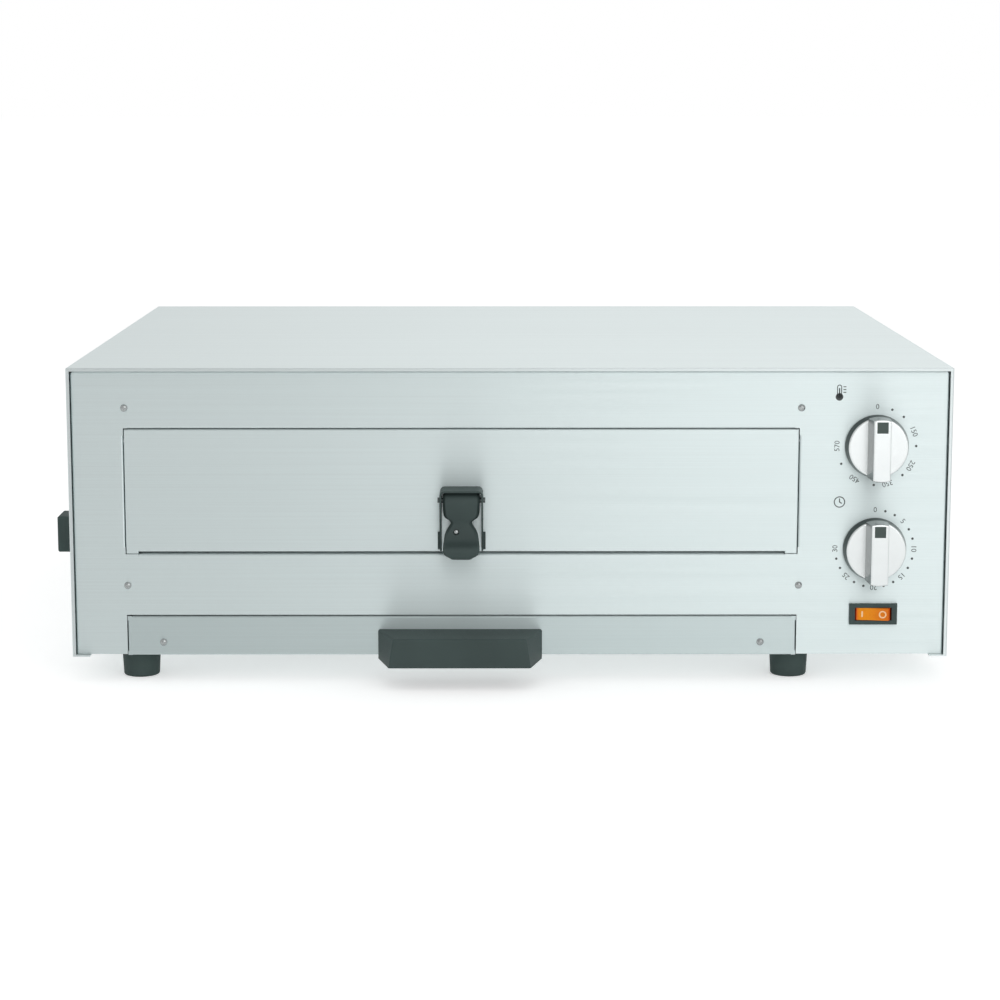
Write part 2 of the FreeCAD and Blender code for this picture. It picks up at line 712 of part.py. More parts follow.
def make_front_panel():
    panel = new_body("front_panel_body")
    rim_l = panel_l + d.bend
    rim_r = panel_r - d.bend
    rim_t = panel_t - d.bend
    outer = [
        (rim_l, panel_b), (opening_l, panel_b), (opening_l, d.tray_top), (opening_r, d.tray_top),
        (opening_r, panel_b), (rim_r, panel_b), (rim_r, rim_t), (rim_l, rim_t),
    ]
    mouth = notched(opening_l, opening_r, d.opening_z, opening_t, d.bend,
                    d.relief_low, d.relief_top, d.relief_side)
    slot = rect(knob_x - d.case_w / 2 - d.fit, knob_x + d.case_w / 2 + d.fit,
                d.switch_z - d.case_h / 2 - d.fit, d.switch_z + d.case_h / 2 + d.fit)
    holes = [(x, z, small_hole_r) for x in panel_screw_x for z in panel_screw_z]
    holes += [(knob_x, z, d.neck_r) for z in (heat_z, time_z)]
    holes += [(x, z, small_hole_r) for x in ear_x for z in (heat_z, time_z)]
    slab(panel, "panel_sheet", "y", 0, d.skin, [outer, mouth, slot], holes)
    slab(panel, "panel_turn_left", "z", panel_b, rim_t, [flange(panel_l, 1, d.turn)])
    slab(panel, "panel_turn_right", "z", panel_b, rim_t, [flange(panel_r, -1, d.turn)])
    slab(panel, "panel_turn_top", "x", rim_l, rim_r, [flange_x(panel_t, -1, d.turn)])
    side_low = d.opening_z + d.relief_side
    side_top = opening_t - d.relief_side
    slab(panel, "mouth_left", "z", side_low, side_top, [flange(opening_l, -1, d.lip_in)])
    slab(panel, "mouth_right", "z", side_low, side_top, [flange(opening_r, 1, d.lip_in)])
    slab(panel, "mouth_top", "x", opening_l + d.relief_top, opening_r - d.relief_top,
         [flange_x(opening_t, 1, d.lip_in)])
    slab(panel, "mouth_low", "x", opening_l + d.relief_low, opening_r - d.relief_low,
         [flange_x(d.opening_z, -1, d.lip_in)])
    hollow(panel, "hinge_holes", "x", opening_l - d.skin, opening_r + d.skin, (),
           [(d.hinge_in, hinge_z, d.rod_r + d.run)])
    return place(panel, "front_panel")


def make_base_pan():
    pan = new_body("base_pan_body")
    notch_y = d.turn + d.skin
    toe_l = panel_l + d.bend
    toe_r = panel_r - d.bend
    floor = [
        (base_l, notch_y), (toe_l, notch_y), (toe_l, d.skin), (leg_l, d.skin), (leg_l, notch_y),
        (leg_r, notch_y), (leg_r, d.skin), (toe_r, d.skin), (toe_r, notch_y), (base_r, notch_y),
        (base_r, rear_in), (base_l, rear_in),
    ]
    feet = [(x, y, hole_r) for x in foot_x for y in foot_y]
    slab(pan, "pan_floor", "z", d.skin, base_top, [floor], feet)
    edge_t = base_top + d.base_turn
    slab(pan, "pan_left", "z", base_top, edge_t, [rect(base_l, base_l + d.skin, notch_y, rear_in)])
    slab(pan, "pan_right", "z", base_top, edge_t, [rect(base_r - d.skin, base_r, notch_y, rear_in)])
    rear = rect(base_l + d.skin, base_r - d.skin, rear_in - d.skin, rear_in)
    slab(pan, "pan_rear", "z", base_top, edge_t, [rear])
    toes = [rect(toe_l, leg_l, d.skin, base_top), rect(leg_r, toe_r, d.skin, base_top)]
    slab(pan, "pan_toes", "z", base_top, base_top + d.turn, toes)
    side_holes = [(y, d.side_screw_z, hole_r) for y in side_screw_y]
    hollow(pan, "pan_side_holes", "x", base_l, base_r, (), side_holes)
    rear_holes = [(x, d.side_screw_z, hole_r) for x in rear_screw_x]
    hollow(pan, "pan_rear_holes", "y", rear_in - d.skin, rear_in, (), rear_holes)
    return place(pan, "base_pan")


def make_rear_panel():
    panel = new_body("rear_panel_body")
    low = base_top + d.fit
    top = d.casing_h - d.skin - d.fit
    holes = [(x, d.side_screw_z, hole_r) for x in rear_screw_x]
    gland = (knob_x, d.gland_z, d.gland_r + d.run)
    slab(panel, "rear_sheet", "y", rear_in, rear_face, [rect(base_l, base_r, low, top)], holes + [gland])
    side_low = base_top + d.base_turn + d.turn
    turns = [
        rect(base_l, base_l + d.skin, rear_in - d.turn, rear_in),
        rect(base_r - d.skin, base_r, rear_in - d.turn, rear_in),
    ]
    slab(panel, "rear_turns", "z", side_low, top, turns)
    side_hole = (rear_in - d.turn / 2, d.casing_h / 2, hole_r)
    hollow(panel, "rear_side_holes", "x", base_l, base_r, (), [side_hole])
    vent_x = knob_x - d.vent_pitch * 4
    slot = rect(vent_x, vent_x + d.vent_w, vent_z, vent_z + d.vent_h)
    vent = hollow(panel, "rear_vent", "y", rear_in, rear_face, [slot])
    repeat(panel, "rear_vents", vent, "H_Axis", d.vent_pitch * 6, 7)
    return place(panel, "rear_panel")


def make_liner():
    shell = new_body("liner_shell_body")
    foot_l = liner_l - d.turn
    foot_r = liner_r + d.turn
    side_l = liner_l - d.skin
    side_r = liner_r + d.skin
    top = liner_top + d.skin
    foot = base_top + d.skin
    fold = [
        (foot_l, base_top), (liner_l, base_top), (liner_l, liner_top), (liner_r, liner_top),
        (liner_r, base_top), (foot_r, base_top), (foot_r, foot), (side_r, foot), (side_r, top),
        (side_l, top), (side_l, foot), (foot_l, foot),
    ]
    slab(shell, "liner_fold", "y", base_top, liner_end, [fold])
    ring_t = liner_top + d.turn
    ring = [
        (foot_l, ring_low), (liner_l, ring_low), (liner_l, liner_top), (liner_r, liner_top),
        (liner_r, ring_low), (foot_r, ring_low), (foot_r, ring_t), (foot_l, ring_t),
    ]
    screw_holes = [(x, panel_screw_z[0], small_hole_r) for x in panel_screw_x]
    slab(shell, "liner_ring", "y", d.skin, base_top, [ring], screw_holes)
    wall_holes = [(y, z, d.bush_r + d.run) for y in element_ys for z in element_zs]
    wall_holes += [(capillary_y, bulb_z, d.capillary_r + d.fit)]
    hollow(shell, "liner_wall_holes", "x", liner_r, side_r, (), wall_holes)
    place(shell, "liner_shell")

    rear = block("liner_back", (side_l, side_r), (liner_end, liner_end + d.skin), (base_top, top))
    place_block(rear, "liner_back")

    sill = new_body("door_sill_body")
    plate = rect(liner_l + d.fit, liner_r - d.fit, sill_low, sill_top)
    low_holes = [(x, panel_screw_z[1], small_hole_r) for x in panel_screw_x]
    slab(sill, "sill_plate", "y", d.skin, base_top, [plate], low_holes)
    shelf = rect(liner_l + d.fit, liner_r - d.fit, base_top, base_top + d.turn)
    slab(sill, "sill_shelf", "z", sill_top - d.skin, sill_top, [shelf])
    place(sill, "door_sill")

    board_y = (d.turn, liner_end)
    board = block("top_insulation", (side_l, side_r), board_y, (top, top + d.board_t))
    place_block(board, "top_insulation")
    board = block("left_insulation", (side_l - d.board_t, side_l), board_y, (foot + d.skin, liner_top))
    place_block(board, "left_insulation")

    shield = new_body("heat_shield_body")
    shield_r = shield_l + d.skin
    shield_foot = shield_l + d.turn
    fold = [
        (shield_l, base_top), (shield_foot, base_top), (shield_foot, foot),
        (shield_r, foot), (shield_r, ring_t), (shield_l, ring_t),
    ]
    slab(shield, "shield_fold", "y", d.foot_front, block_y, [fold])
    ways = [(y, z, d.bush_r + d.fit) for y in element_ys for z in element_zs]
    ways += [(capillary_y, bulb_z, d.capillary_r + d.fit * 2)]
    hollow(shield, "shield_holes", "x", shield_l, shield_r, (), ways)
    place(shield, "heat_shield")


def place_block(item, label):
    """Put a box into the shared frame, on top of its place in the oven frame."""
    item.Label = label
    for letter, amount in zip("xyz", (frame_x, frame_y, frame_z)):
        prop = f"Placement.Base.{letter}"
        own = [text for path, text in item.ExpressionEngine if path.lstrip(".") == prop][0]
        item.setExpression(prop, f"{amount.text} + {own}")
    nodes.append(item)
    return item


def make_element(label, level):
    element = new_body(label + "_body")
    end_x = liner_r + d.element_out
    turn_r = d.element_pitch / 2
    turn_l = liner_l + d.element_edge + turn_r
    turn_x = liner_r - d.element_edge - turn_r
    ys = [d.element_y + d.element_pitch * i for i in range(ELEMENT_PASSES)]
    ys.reverse()
    path = [(end_x, ys[0])]
    for index in range(ELEMENT_PASSES - 1):
        x, way = (turn_l, "ccw") if index % 2 == 0 else (turn_x, "cw")
        path.append((x, ys[index], (x, ys[index] - turn_r, way)))
        path.append((x, ys[index + 1]))
    path.append((end_x, ys[-1]))
    ring = new_sketch(element, label + "_ring", "x", end_x, (), [(ys[0], level, d.element_r)])
    spine = new_sketch(element, label + "_path", "z", level, [path], (), False)
    pipe = element.newObject("PartDesign::AdditivePipe", label + "_pipe")
    pipe.Profile = ring
    pipe.Spine = (spine, [f"Edge{i}" for i in range(1, len(path))])
    element.Tip = pipe
    return place(element, label)


def make_element_fittings():
    bushes = []
    pins = []
    clips = []
    for z in element_zs:
        for y in element_ys:
            ends = (liner_r - d.bush_in, liner_r + d.bush_out)
            outer = bar("bush_outer", "x", d.bush_r, (y, z), *ends)
            bore = bar("bush_bore", "x", d.element_r + d.run, (y, z), *ends)
            bushes.append(cut("bush", outer, [bore]))
            end_x = liner_r + d.element_out
            pins.append(bar("element_pin", "x", d.pin_r, (y, z), end_x, end_x + d.pin_len))
        for index in range(0, ELEMENT_PASSES, 2):
            y = d.element_y + d.element_pitch * (index + 0.5)
            plate = block("clip_plate", (liner_l, liner_l + d.clip_w), (y - d.clip_t / 2, y + d.clip_t / 2),
                          (z - d.clip_h / 2, z + d.clip_h / 2))
            eye = bar("clip_eye", "y", d.element_r + d.fit, (liner_l + d.element_edge, z),
                      y - d.clip_t / 2, y + d.clip_t / 2)
            clips.append(cut("clip", plate, [eye]))
    place(group("element_bushes", bushes), "element_bushes")
    place(group("element_terminals", pins), "element_terminals")
    place(group("element_clips", clips), "element_clips")


def make_rack():
    rod_z = ledge_z + d.rack_rod
    rod_l = liner_l + d.ledge_w - d.rack_rod
    rod_r = liner_r - d.ledge_w + d.rack_rod
    rack_rear = liner_end - d.rack_gap
    ends = (d.rack_front - d.rack_rod, rack_rear + d.rack_rod)
    parts = []
    for x in (rod_l, rod_r):
        parts.append(bar("rack_side", "y", d.rack_rod, (x, rod_z), *ends))
    for y in (d.rack_front, (d.rack_front + rack_rear) / 2, rack_rear):
        parts.append(bar("rack_cross", "x", d.rack_cross, (y, rod_z), rod_l, rod_r))
    wire_z = rod_z + d.rack_cross + d.rack_wire - d.weld
    room = (rod_r - rod_l) / 2 - d.rack_rod - d.rack_wire
    steps = int((room / d.rack_pitch).number)
    for step in range(-steps, steps + 1):
        parts.append(bar("rack_wire", "y", d.rack_wire, (door_mid + d.rack_pitch * step, wire_z), *ends))
    place(fuse("oven_rack", parts), "oven_rack")

    ledges = []
    for edge, inward in ((liner_l, 1), (liner_r, -1)):
        near, far = edge + d.skin * inward, edge + d.ledge_w * inward
        upright = (edge, near) if inward > 0 else (near, edge)
        shelf = (edge, far) if inward > 0 else (far, edge)
        side = block("ledge_side", upright, ends, (ledge_z - d.turn, ledge_z))
        top = block("ledge_top", shelf, ends, (ledge_z - d.skin, ledge_z))
        ledges.append(fuse("ledge", [side, top]))
    place(group("rack_ledges", ledges), "rack_ledges")


def make_feet():
    well_top = d.skin - d.foot_floor
    foot_outline = [
        (hole_r, d.skin), (hole_r, well_top), (d.foot_well_r, well_top), (d.foot_well_r, -d.foot_h),
        (d.foot_r - d.foot_taper - d.foot_round, -d.foot_h,
         (d.foot_r - d.foot_taper - d.foot_round, d.foot_round - d.foot_h, "ccw")),
        (d.foot_r - d.foot_taper, d.foot_round - d.foot_h), (d.foot_r, d.skin),
    ]
    spots = []
    for y, end in zip(foot_y, ("front", "rear")):
        for x, side in zip(foot_x, ("left", "right")):
            foot = new_body(f"foot_{end}_{side}_body")
            spin(foot, f"foot_{end}_{side}_form", "y", foot_outline, "V_Axis")
            place(foot, f"foot_{end}_{side}", x, y, 0)
            spots.append((x, y, well_top))
    bumper_well = -d.foot_floor
    half = d.bumper_w / 2
    reach = (-d.bumper_h, -d.bumper_h)
    items = []
    for y, end in zip(bumper_y, ("front", "rear")):
        bumper = new_body(f"side_bumper_{end}_body")
        slab(bumper, f"side_bumper_{end}_form", "x", -d.bumper_h, 0, [rect(-half, half, -half, half)])
        soften(bumper, f"side_bumper_{end}_edges", d.foot_round, (reach, (-half, half), (-half, half)))
        hollow(bumper, f"side_bumper_{end}_well", "x", -d.bumper_h, bumper_well, (),
               [(0, 0, d.foot_well_r)])
        hollow(bumper, f"side_bumper_{end}_hole", "x", bumper_well, 0, (), [(0, 0, hole_r)])
        place(bumper, f"side_bumper_{end}", left, y, d.bumper_z)
        items.append(screw(f"bumper_screw_{end}", "left", (left + bumper_well, y, d.bumper_z),
                           d.head_r, d.head_h, d.screw_r, d.foot_floor + d.screw_r))
    for index, spot in enumerate(spots, 1):
        items.append(screw(f"foot_screw_{index}", "below", spot, d.head_r, d.head_h, d.screw_r,
                           d.foot_floor + d.screw_r))
    place(group("foot_screws", items), "foot_screws")


def make_casing_screws():
    spots = [(x, 0, z) for x in panel_screw_x for z in panel_screw_z]
    screws("panel_screws", "front", spots, d.front_head, d.front_head_h, d.small_r, d.screw_len, True)
    items = []
    for facing, x in (("left", left), ("right", right)):
        for y in side_screw_y:
            items.append(screw("side_screw", facing, (x, y, d.side_screw_z), d.head_r, d.head_h,
                               d.screw_r, d.screw_len))
        items.append(screw("side_screw", facing, (x, rear_in - d.turn / 2, d.casing_h / 2), d.head_r,
                           d.head_h, d.screw_r, d.screw_len))
    place(group("casing_screws", items), "casing_screws")
    spots = [(x, rear_face, d.side_screw_z) for x in rear_screw_x]
    screws("rear_screws", "rear", spots, d.head_r, d.head_h, d.screw_r, d.screw_len)
    spots = [(x, 0, z) for x in ear_x for z in (heat_z, time_z)]
    screws("control_screws", "front", spots, d.small_head, d.small_head_h, d.small_r, d.screw_len)


def make_control(label, level, box, deep):
    case = block(label + "_case", (knob_x - box / 2, knob_x + box / 2), (d.skin, d.skin + deep),
                 (level - box / 2, level + box / 2))
    tools = [bar(label + "_bore", "y", d.shaft_r + d.run, (knob_x, level), 0, d.shaft_in + d.fit)]
    for x in ear_x:
        tools.append(bar(label + "_ear", "y", small_hole_r, (x, level), 0, d.screw_len + d.fit))
    return place(cut(label, case, tools), label)


def make_knob(name, level):
    knob = new_body(name + "_knob_body")
    low = -d.knob_off
    brow = low - d.skirt_h
    face = brow - d.bar_h
    rim = d.knob_r - d.skirt_draft
    skirt = [
        (0, low), (0, brow), (rim - d.skirt_round, brow, (rim - d.skirt_round, brow + d.skirt_round, "ccw")),
        (rim, brow + d.skirt_round), (d.knob_r, low),
    ]
    spin(knob, name + "_skirt", "z", skirt, "V_Axis")
    section = [
        (-d.bar_foot / 2, brow), (d.bar_foot / 2, brow), (d.bar_face / 2, face), (-d.bar_face / 2, face),
    ]
    slab(knob, name + "_bar", "z", -d.bar_r - d.turn, d.bar_r + d.turn, [section])
    round_cut = [(0, 0, d.bar_r), (0, 0, d.bar_r + d.turn * 2)]
    hollow(knob, name + "_bar_ends", "y", face, brow, (), round_cut)
    soften(knob, name + "_bar_edges", d.bar_round,
           ((-d.bar_r, d.bar_r), (face, face), (-d.bar_r, d.bar_r)))
    mark_t = d.bar_r - d.mark_in
    mark = rect(-d.mark_w / 2, d.mark_w / 2, mark_t - d.mark_w, mark_t)
    hollow(knob, name + "_mark_seat", "y", face, face + d.mark_t, [mark])
    hollow(knob, name + "_bore", "y", -d.shaft_out, low, (), [(0, 0, d.shaft_r)])
    place(knob, name + "_knob", knob_x, 0, level)
    marker = block(name + "_marker", (knob_x - d.mark_w / 2, knob_x + d.mark_w / 2),
                   (face, face + d.mark_t), (level + mark_t - d.mark_w, level + mark_t))
    place_block(marker, name + "_marker")
    shaft = bar(name + "_shaft", "y", d.shaft_r, (knob_x, level), -d.shaft_out, d.shaft_in)
    place_block(shaft, name + "_shaft")


def make_switch():
    x, z = knob_x, d.switch_z
    bezel = block("switch_bezel", (x - d.bezel_w / 2, x + d.bezel_w / 2), (-d.bezel_t, 0),
                  (z - d.bezel_h / 2, z + d.bezel_h / 2))
    case = block("switch_case", (x - d.case_w / 2, x + d.case_w / 2), (0, d.case_d),
                 (z - d.case_h / 2, z + d.case_h / 2))
    window = block("switch_window", (x - d.window_w / 2, x + d.window_w / 2), (-d.bezel_t, d.window_d),
                   (z - d.window_h / 2, z + d.window_h / 2))
    pivot = bar("switch_pivot", "z", d.stub_r + d.run, (x, d.rocker_in), z - d.case_h / 2, z + d.case_h / 2)
    place(cut("switch_body", fuse("switch_solid", [bezel, case]), [window, pivot]), "switch_body")
    tabs = []
    for step in (-1, 0, 1):
        mid = x + d.tab_pitch * step
        tabs.append(block("switch_tab", (mid - d.tab_w / 2, mid + d.tab_w / 2),
                          (d.case_d, d.case_d + d.tab_len), (z - d.tab_h / 2, z + d.tab_h / 2)))
    place(group("switch_terminals", tabs), "switch_terminals")

    rocker = new_body("switch_rocker_body")
    tail_x = (d.rocker_r * d.rocker_r - d.rocker_tail * d.rocker_tail).root()
    top_x = (d.rocker_r * d.rocker_r - d.rocker_top * d.rocker_top).root()
    outline = [
        (-top_x, -d.rocker_top), (0, d.rocker_dip - d.rocker_top), (top_x, -d.rocker_top, (0, 0, "ccw")),
        (tail_x, d.rocker_tail), (-tail_x, d.rocker_tail, (0, 0, "ccw")),
    ]
    half = d.window_h / 2 - d.fit
    slab(rocker, "rocker_form", "z", -half, half, [outline])
    slab(rocker, "rocker_stubs", "z", -d.case_h / 2, d.case_h / 2, (), [(0, 0, d.stub_r)])
    rocker.Placement = FreeCAD.Placement(Vector(), FreeCAD.Rotation(Vector(0, 0, 1), 0))
    bind(rocker, "Placement.Rotation.Angle", -d.rocker_tilt)
    place(rocker, "switch_rocker", x, d.rocker_in, z)


def make_hinge():
    rod_l = opening_l - d.skin - d.cap_t * 2
    rod_r = opening_r + d.skin + d.cap_t * 2
    rod = bar("hinge_rod", "x", d.rod_r, (d.hinge_in, hinge_z), rod_l, rod_r)
    place_block(rod, "hinge_rod")
    clips = []
    for start in (rod_l + d.cap_t - d.fit, rod_r - d.cap_t * 2 + d.fit):
        plate = block("hinge_clip_plate", (start, start + d.cap_t), (d.hinge_in, d.hinge_in + d.cap_r * 1.5),
                      (hinge_z - d.cap_r, hinge_z + d.cap_r))
        eye = bar("hinge_clip_eye", "x", d.rod_r, (d.hinge_in, hinge_z), start, start + d.cap_t)
        clips.append(cut("hinge_clip", plate, [eye]))
    place(group("hinge_clips", clips), "hinge_clips")
    stop_y = (d.door_depth + d.fit, d.door_depth + d.fit + d.skin)
    stop_z = (d.opening_z + d.turn, d.opening_z + d.turn * 3)
    stops = [
        block("stop_left", (liner_l, door_l + d.turn / 2), stop_y, stop_z),
        block("stop_right", (door_r - d.turn / 2, liner_r), stop_y, stop_z),
    ]
    place(group("door_stops", stops), "door_stops")


def make_door():
    skin = new_body("door_skin_body")
    slab(skin, "door_pan", "y", 0, d.door_depth, [rect(door_l, door_r, door_b, door_t)])
    inside = rect(door_l + d.skin, door_r - d.skin, door_b + d.skin, door_t - d.skin)
    hollow(skin, "door_inside", "y", d.skin, d.door_depth, [inside])
    ear_z = d.opening_z + d.gap_side
    ears = [
        rect(door_l, door_l + d.relief_low, ear_z, door_b + d.skin),
        rect(door_r - d.relief_low, door_r, ear_z, door_b + d.skin),
    ]
    slab(skin, "door_ears", "y", 0, d.skin, ears)
    soften(skin, "door_edges", d.door_round, ((door_l, door_r), (0, 0), (ear_z, door_t)))
    hollow(skin, "door_hinge_holes", "x", door_l, door_r, (), [(d.hinge_in, hinge_z, d.rod_r + d.run)])
    rivets = [(door_mid, z, d.rivet_r) for z in rivet_zs]
    hollow(skin, "door_rivet_holes", "y", 0, d.skin, (), rivets)
    place(skin, "door_skin")
    baffle_y = (d.baffle_in, d.baffle_in + d.baffle_t)
    baffle = block("door_baffle", (door_l + d.skin, door_r - d.skin), baffle_y,
                   (door_b + d.skin, door_t - d.skin))
    place_block(baffle, "door_baffle")

    bracket = new_body("handle_bracket_body")
    side_l = door_mid - d.bracket_w / 2
    side_r = door_mid + d.bracket_w / 2
    turn_l = side_l + d.bracket_round
    turn_r = side_r - d.bracket_round
    turn_z = bracket_top - d.bracket_round
    lug_z = bracket_low + d.lug_h
    in_l = side_l + d.bracket_t
    in_r = side_r - d.bracket_t
    in_t = bracket_top - d.bracket_t
    channel = [
        (side_l, bracket_low), (side_l, turn_z, (turn_l, turn_z, "cw")), (turn_l, bracket_top),
        (turn_r, bracket_top, (turn_r, turn_z, "cw")), (side_r, turn_z), (side_r, bracket_low),
        (in_r, bracket_low), (in_r, turn_z, (turn_r, turn_z, "ccw")), (turn_r, in_t),
        (turn_l, in_t, (turn_l, turn_z, "ccw")), (in_l, turn_z), (in_l, bracket_low),
    ]
    slab(bracket, "bracket_channel", "y", -d.bracket_out, 0, [channel])
    lugs = [
        rect(side_l - d.lug_w, in_l, bracket_low, lug_z), rect(in_r, side_r + d.lug_w, bracket_low, lug_z),
    ]
    slab(bracket, "bracket_lugs", "y", -d.bracket_t, 0, lugs)
    knee = [
        (-d.bracket_out, grip_pin_z - d.turn), (-d.bracket_out, bracket_low), (-d.cheek_low, bracket_low),
    ]
    hollow(bracket, "cheek_slopes", "x", side_l, side_r, [knee])
    pin_hole = (grip_y, grip_pin_z, d.grip_pin_r)
    hollow(bracket, "bracket_pin_holes", "x", side_l, side_r, (), [pin_hole])
    place(bracket, "handle_bracket")

    plate = new_body("bracket_plate_body")
    slab(plate, "plate_sheet", "y", -d.bracket_t, 0, [rect(in_l, in_r, bracket_low, turn_z)], rivets)
    place(plate, "bracket_plate")

    items = []
    for z in rivet_zs:
        spot = (door_mid, z)
        items.append(fuse("rivet", [
            bar("rivet_head", "y", d.rivet_head, spot, -d.bracket_t - d.rivet_head_h, -d.bracket_t),
            bar("rivet_stem", "y", d.rivet_r, spot, -d.bracket_t, d.skin),
            bar("rivet_tail", "y", d.rivet_head, spot, d.skin, d.skin + d.rivet_head_h),
        ]))
    place(group("bracket_rivets", items), "bracket_rivets")
    pin = bar("grip_pin", "x", d.grip_pin_r, (grip_y, grip_pin_z), side_l - d.grip_pin_over,
              side_r + d.grip_pin_over)
    place_block(pin, "grip_pin")


# Grip sections from top to bottom: height above the pin, front and rear of the pin, half width, chamfer
grip_half = d.bracket_w / 2 - d.bracket_t - d.grip_side
GRIP = (
    (5.1, -2.3, d.grip_back - 3.2, grip_half - 0.9, 1.2),
    (3.8, -4.1, d.grip_back - 1.4, grip_half - 0.4, 1.6),
    (0, -6, d.grip_back, grip_half - 0.2, 1.6),
    (-6.4, -5.6, d.grip_back - 0.8, grip_half - 0.3, 1.8),
    (-10.1, -5.2, 3.8, 11.8, 1.8),
    (-11.8, -4.9, 3.3, 10.7, 1.8),
    (-13.2, -4.6, 2.9, 8.6, 1.8),
    (-15.2, -4.3, 2.4, 7.2, 1.8),
    (-17.4, -4.4, 2, 8.2, 1.8),
    (-20, -4.8, 1.4, 9.9, 1.8),
    (-23, -5.4, 0.4, 11.2, 1.8),
    (-26.4, -6.8, -1.4, 11.8, 1.8),
    (-28.4, -9.8, -4.2, 12.1, 1.6),
    (-29.8, -13.8, -7.6, 12.3, 1.6),
    (-31.2, -15.9, -9.8, 12.4, 1.6),
    (-34.5, -16.2, -11.2, 11.6, 1.4),
    (-36.1, -15.8, -11.7, 10, 1.2),
    (-37.3, -15.2, -12.2, 7.8, 0.9),
    (-38.2, -14.6, -12.6, 5, 0.6),
)


def make_grip():
    grip = new_body("door_grip_body")
    rings = []
    for index, (rise, fore, aft, half, nip) in enumerate(GRIP):
        x0 = door_mid - half
        x1 = door_mid + half
        y0 = grip_y + fore
        y1 = grip_y + aft
        outline = [
            (x0 + nip, y0), (x1 - nip, y0), (x1, y0 + nip), (x1, y1 - nip),
            (x1 - nip, y1), (x0 + nip, y1), (x0, y1 - nip), (x0, y0 + nip),
        ]
        rings.append(new_sketch(grip, f"grip_ring_{index}", "z", grip_pin_z + rise, [outline]))
    loft = grip.newObject("PartDesign::AdditiveLoft", "grip_form")
    loft.Profile = rings[0]
    loft.Sections = rings[1:]
    grip.Tip = loft
    reach = d.bracket_w / 2
    hollow(grip, "grip_eye", "x", door_mid - reach, door_mid + reach, (),
           [(grip_y, grip_pin_z, d.grip_pin_r + d.run)])
    screw_x = door_mid - d.grip_screw_x
    screw_z = grip_pin_z - d.grip_screw_drop
    seat_y = grip_y - d.grip_seat
    seat = (screw_x, screw_z, d.grip_head + d.fit)
    hollow(grip, "grip_seat", "y", seat_y - d.turn, seat_y, (), [seat])
    hollow(grip, "grip_screw_hole", "y", seat_y, seat_y + d.grip_screw_len, (),
           [(screw_x, screw_z, d.grip_screw_r)])
    place(grip, "door_grip")
    item = screw("grip_screw", "front", (screw_x, seat_y, screw_z), d.grip_head, d.grip_head_h,
                 d.grip_screw_r, d.grip_screw_len, True, d.grip_slot)
    place_block(item, "grip_screw")


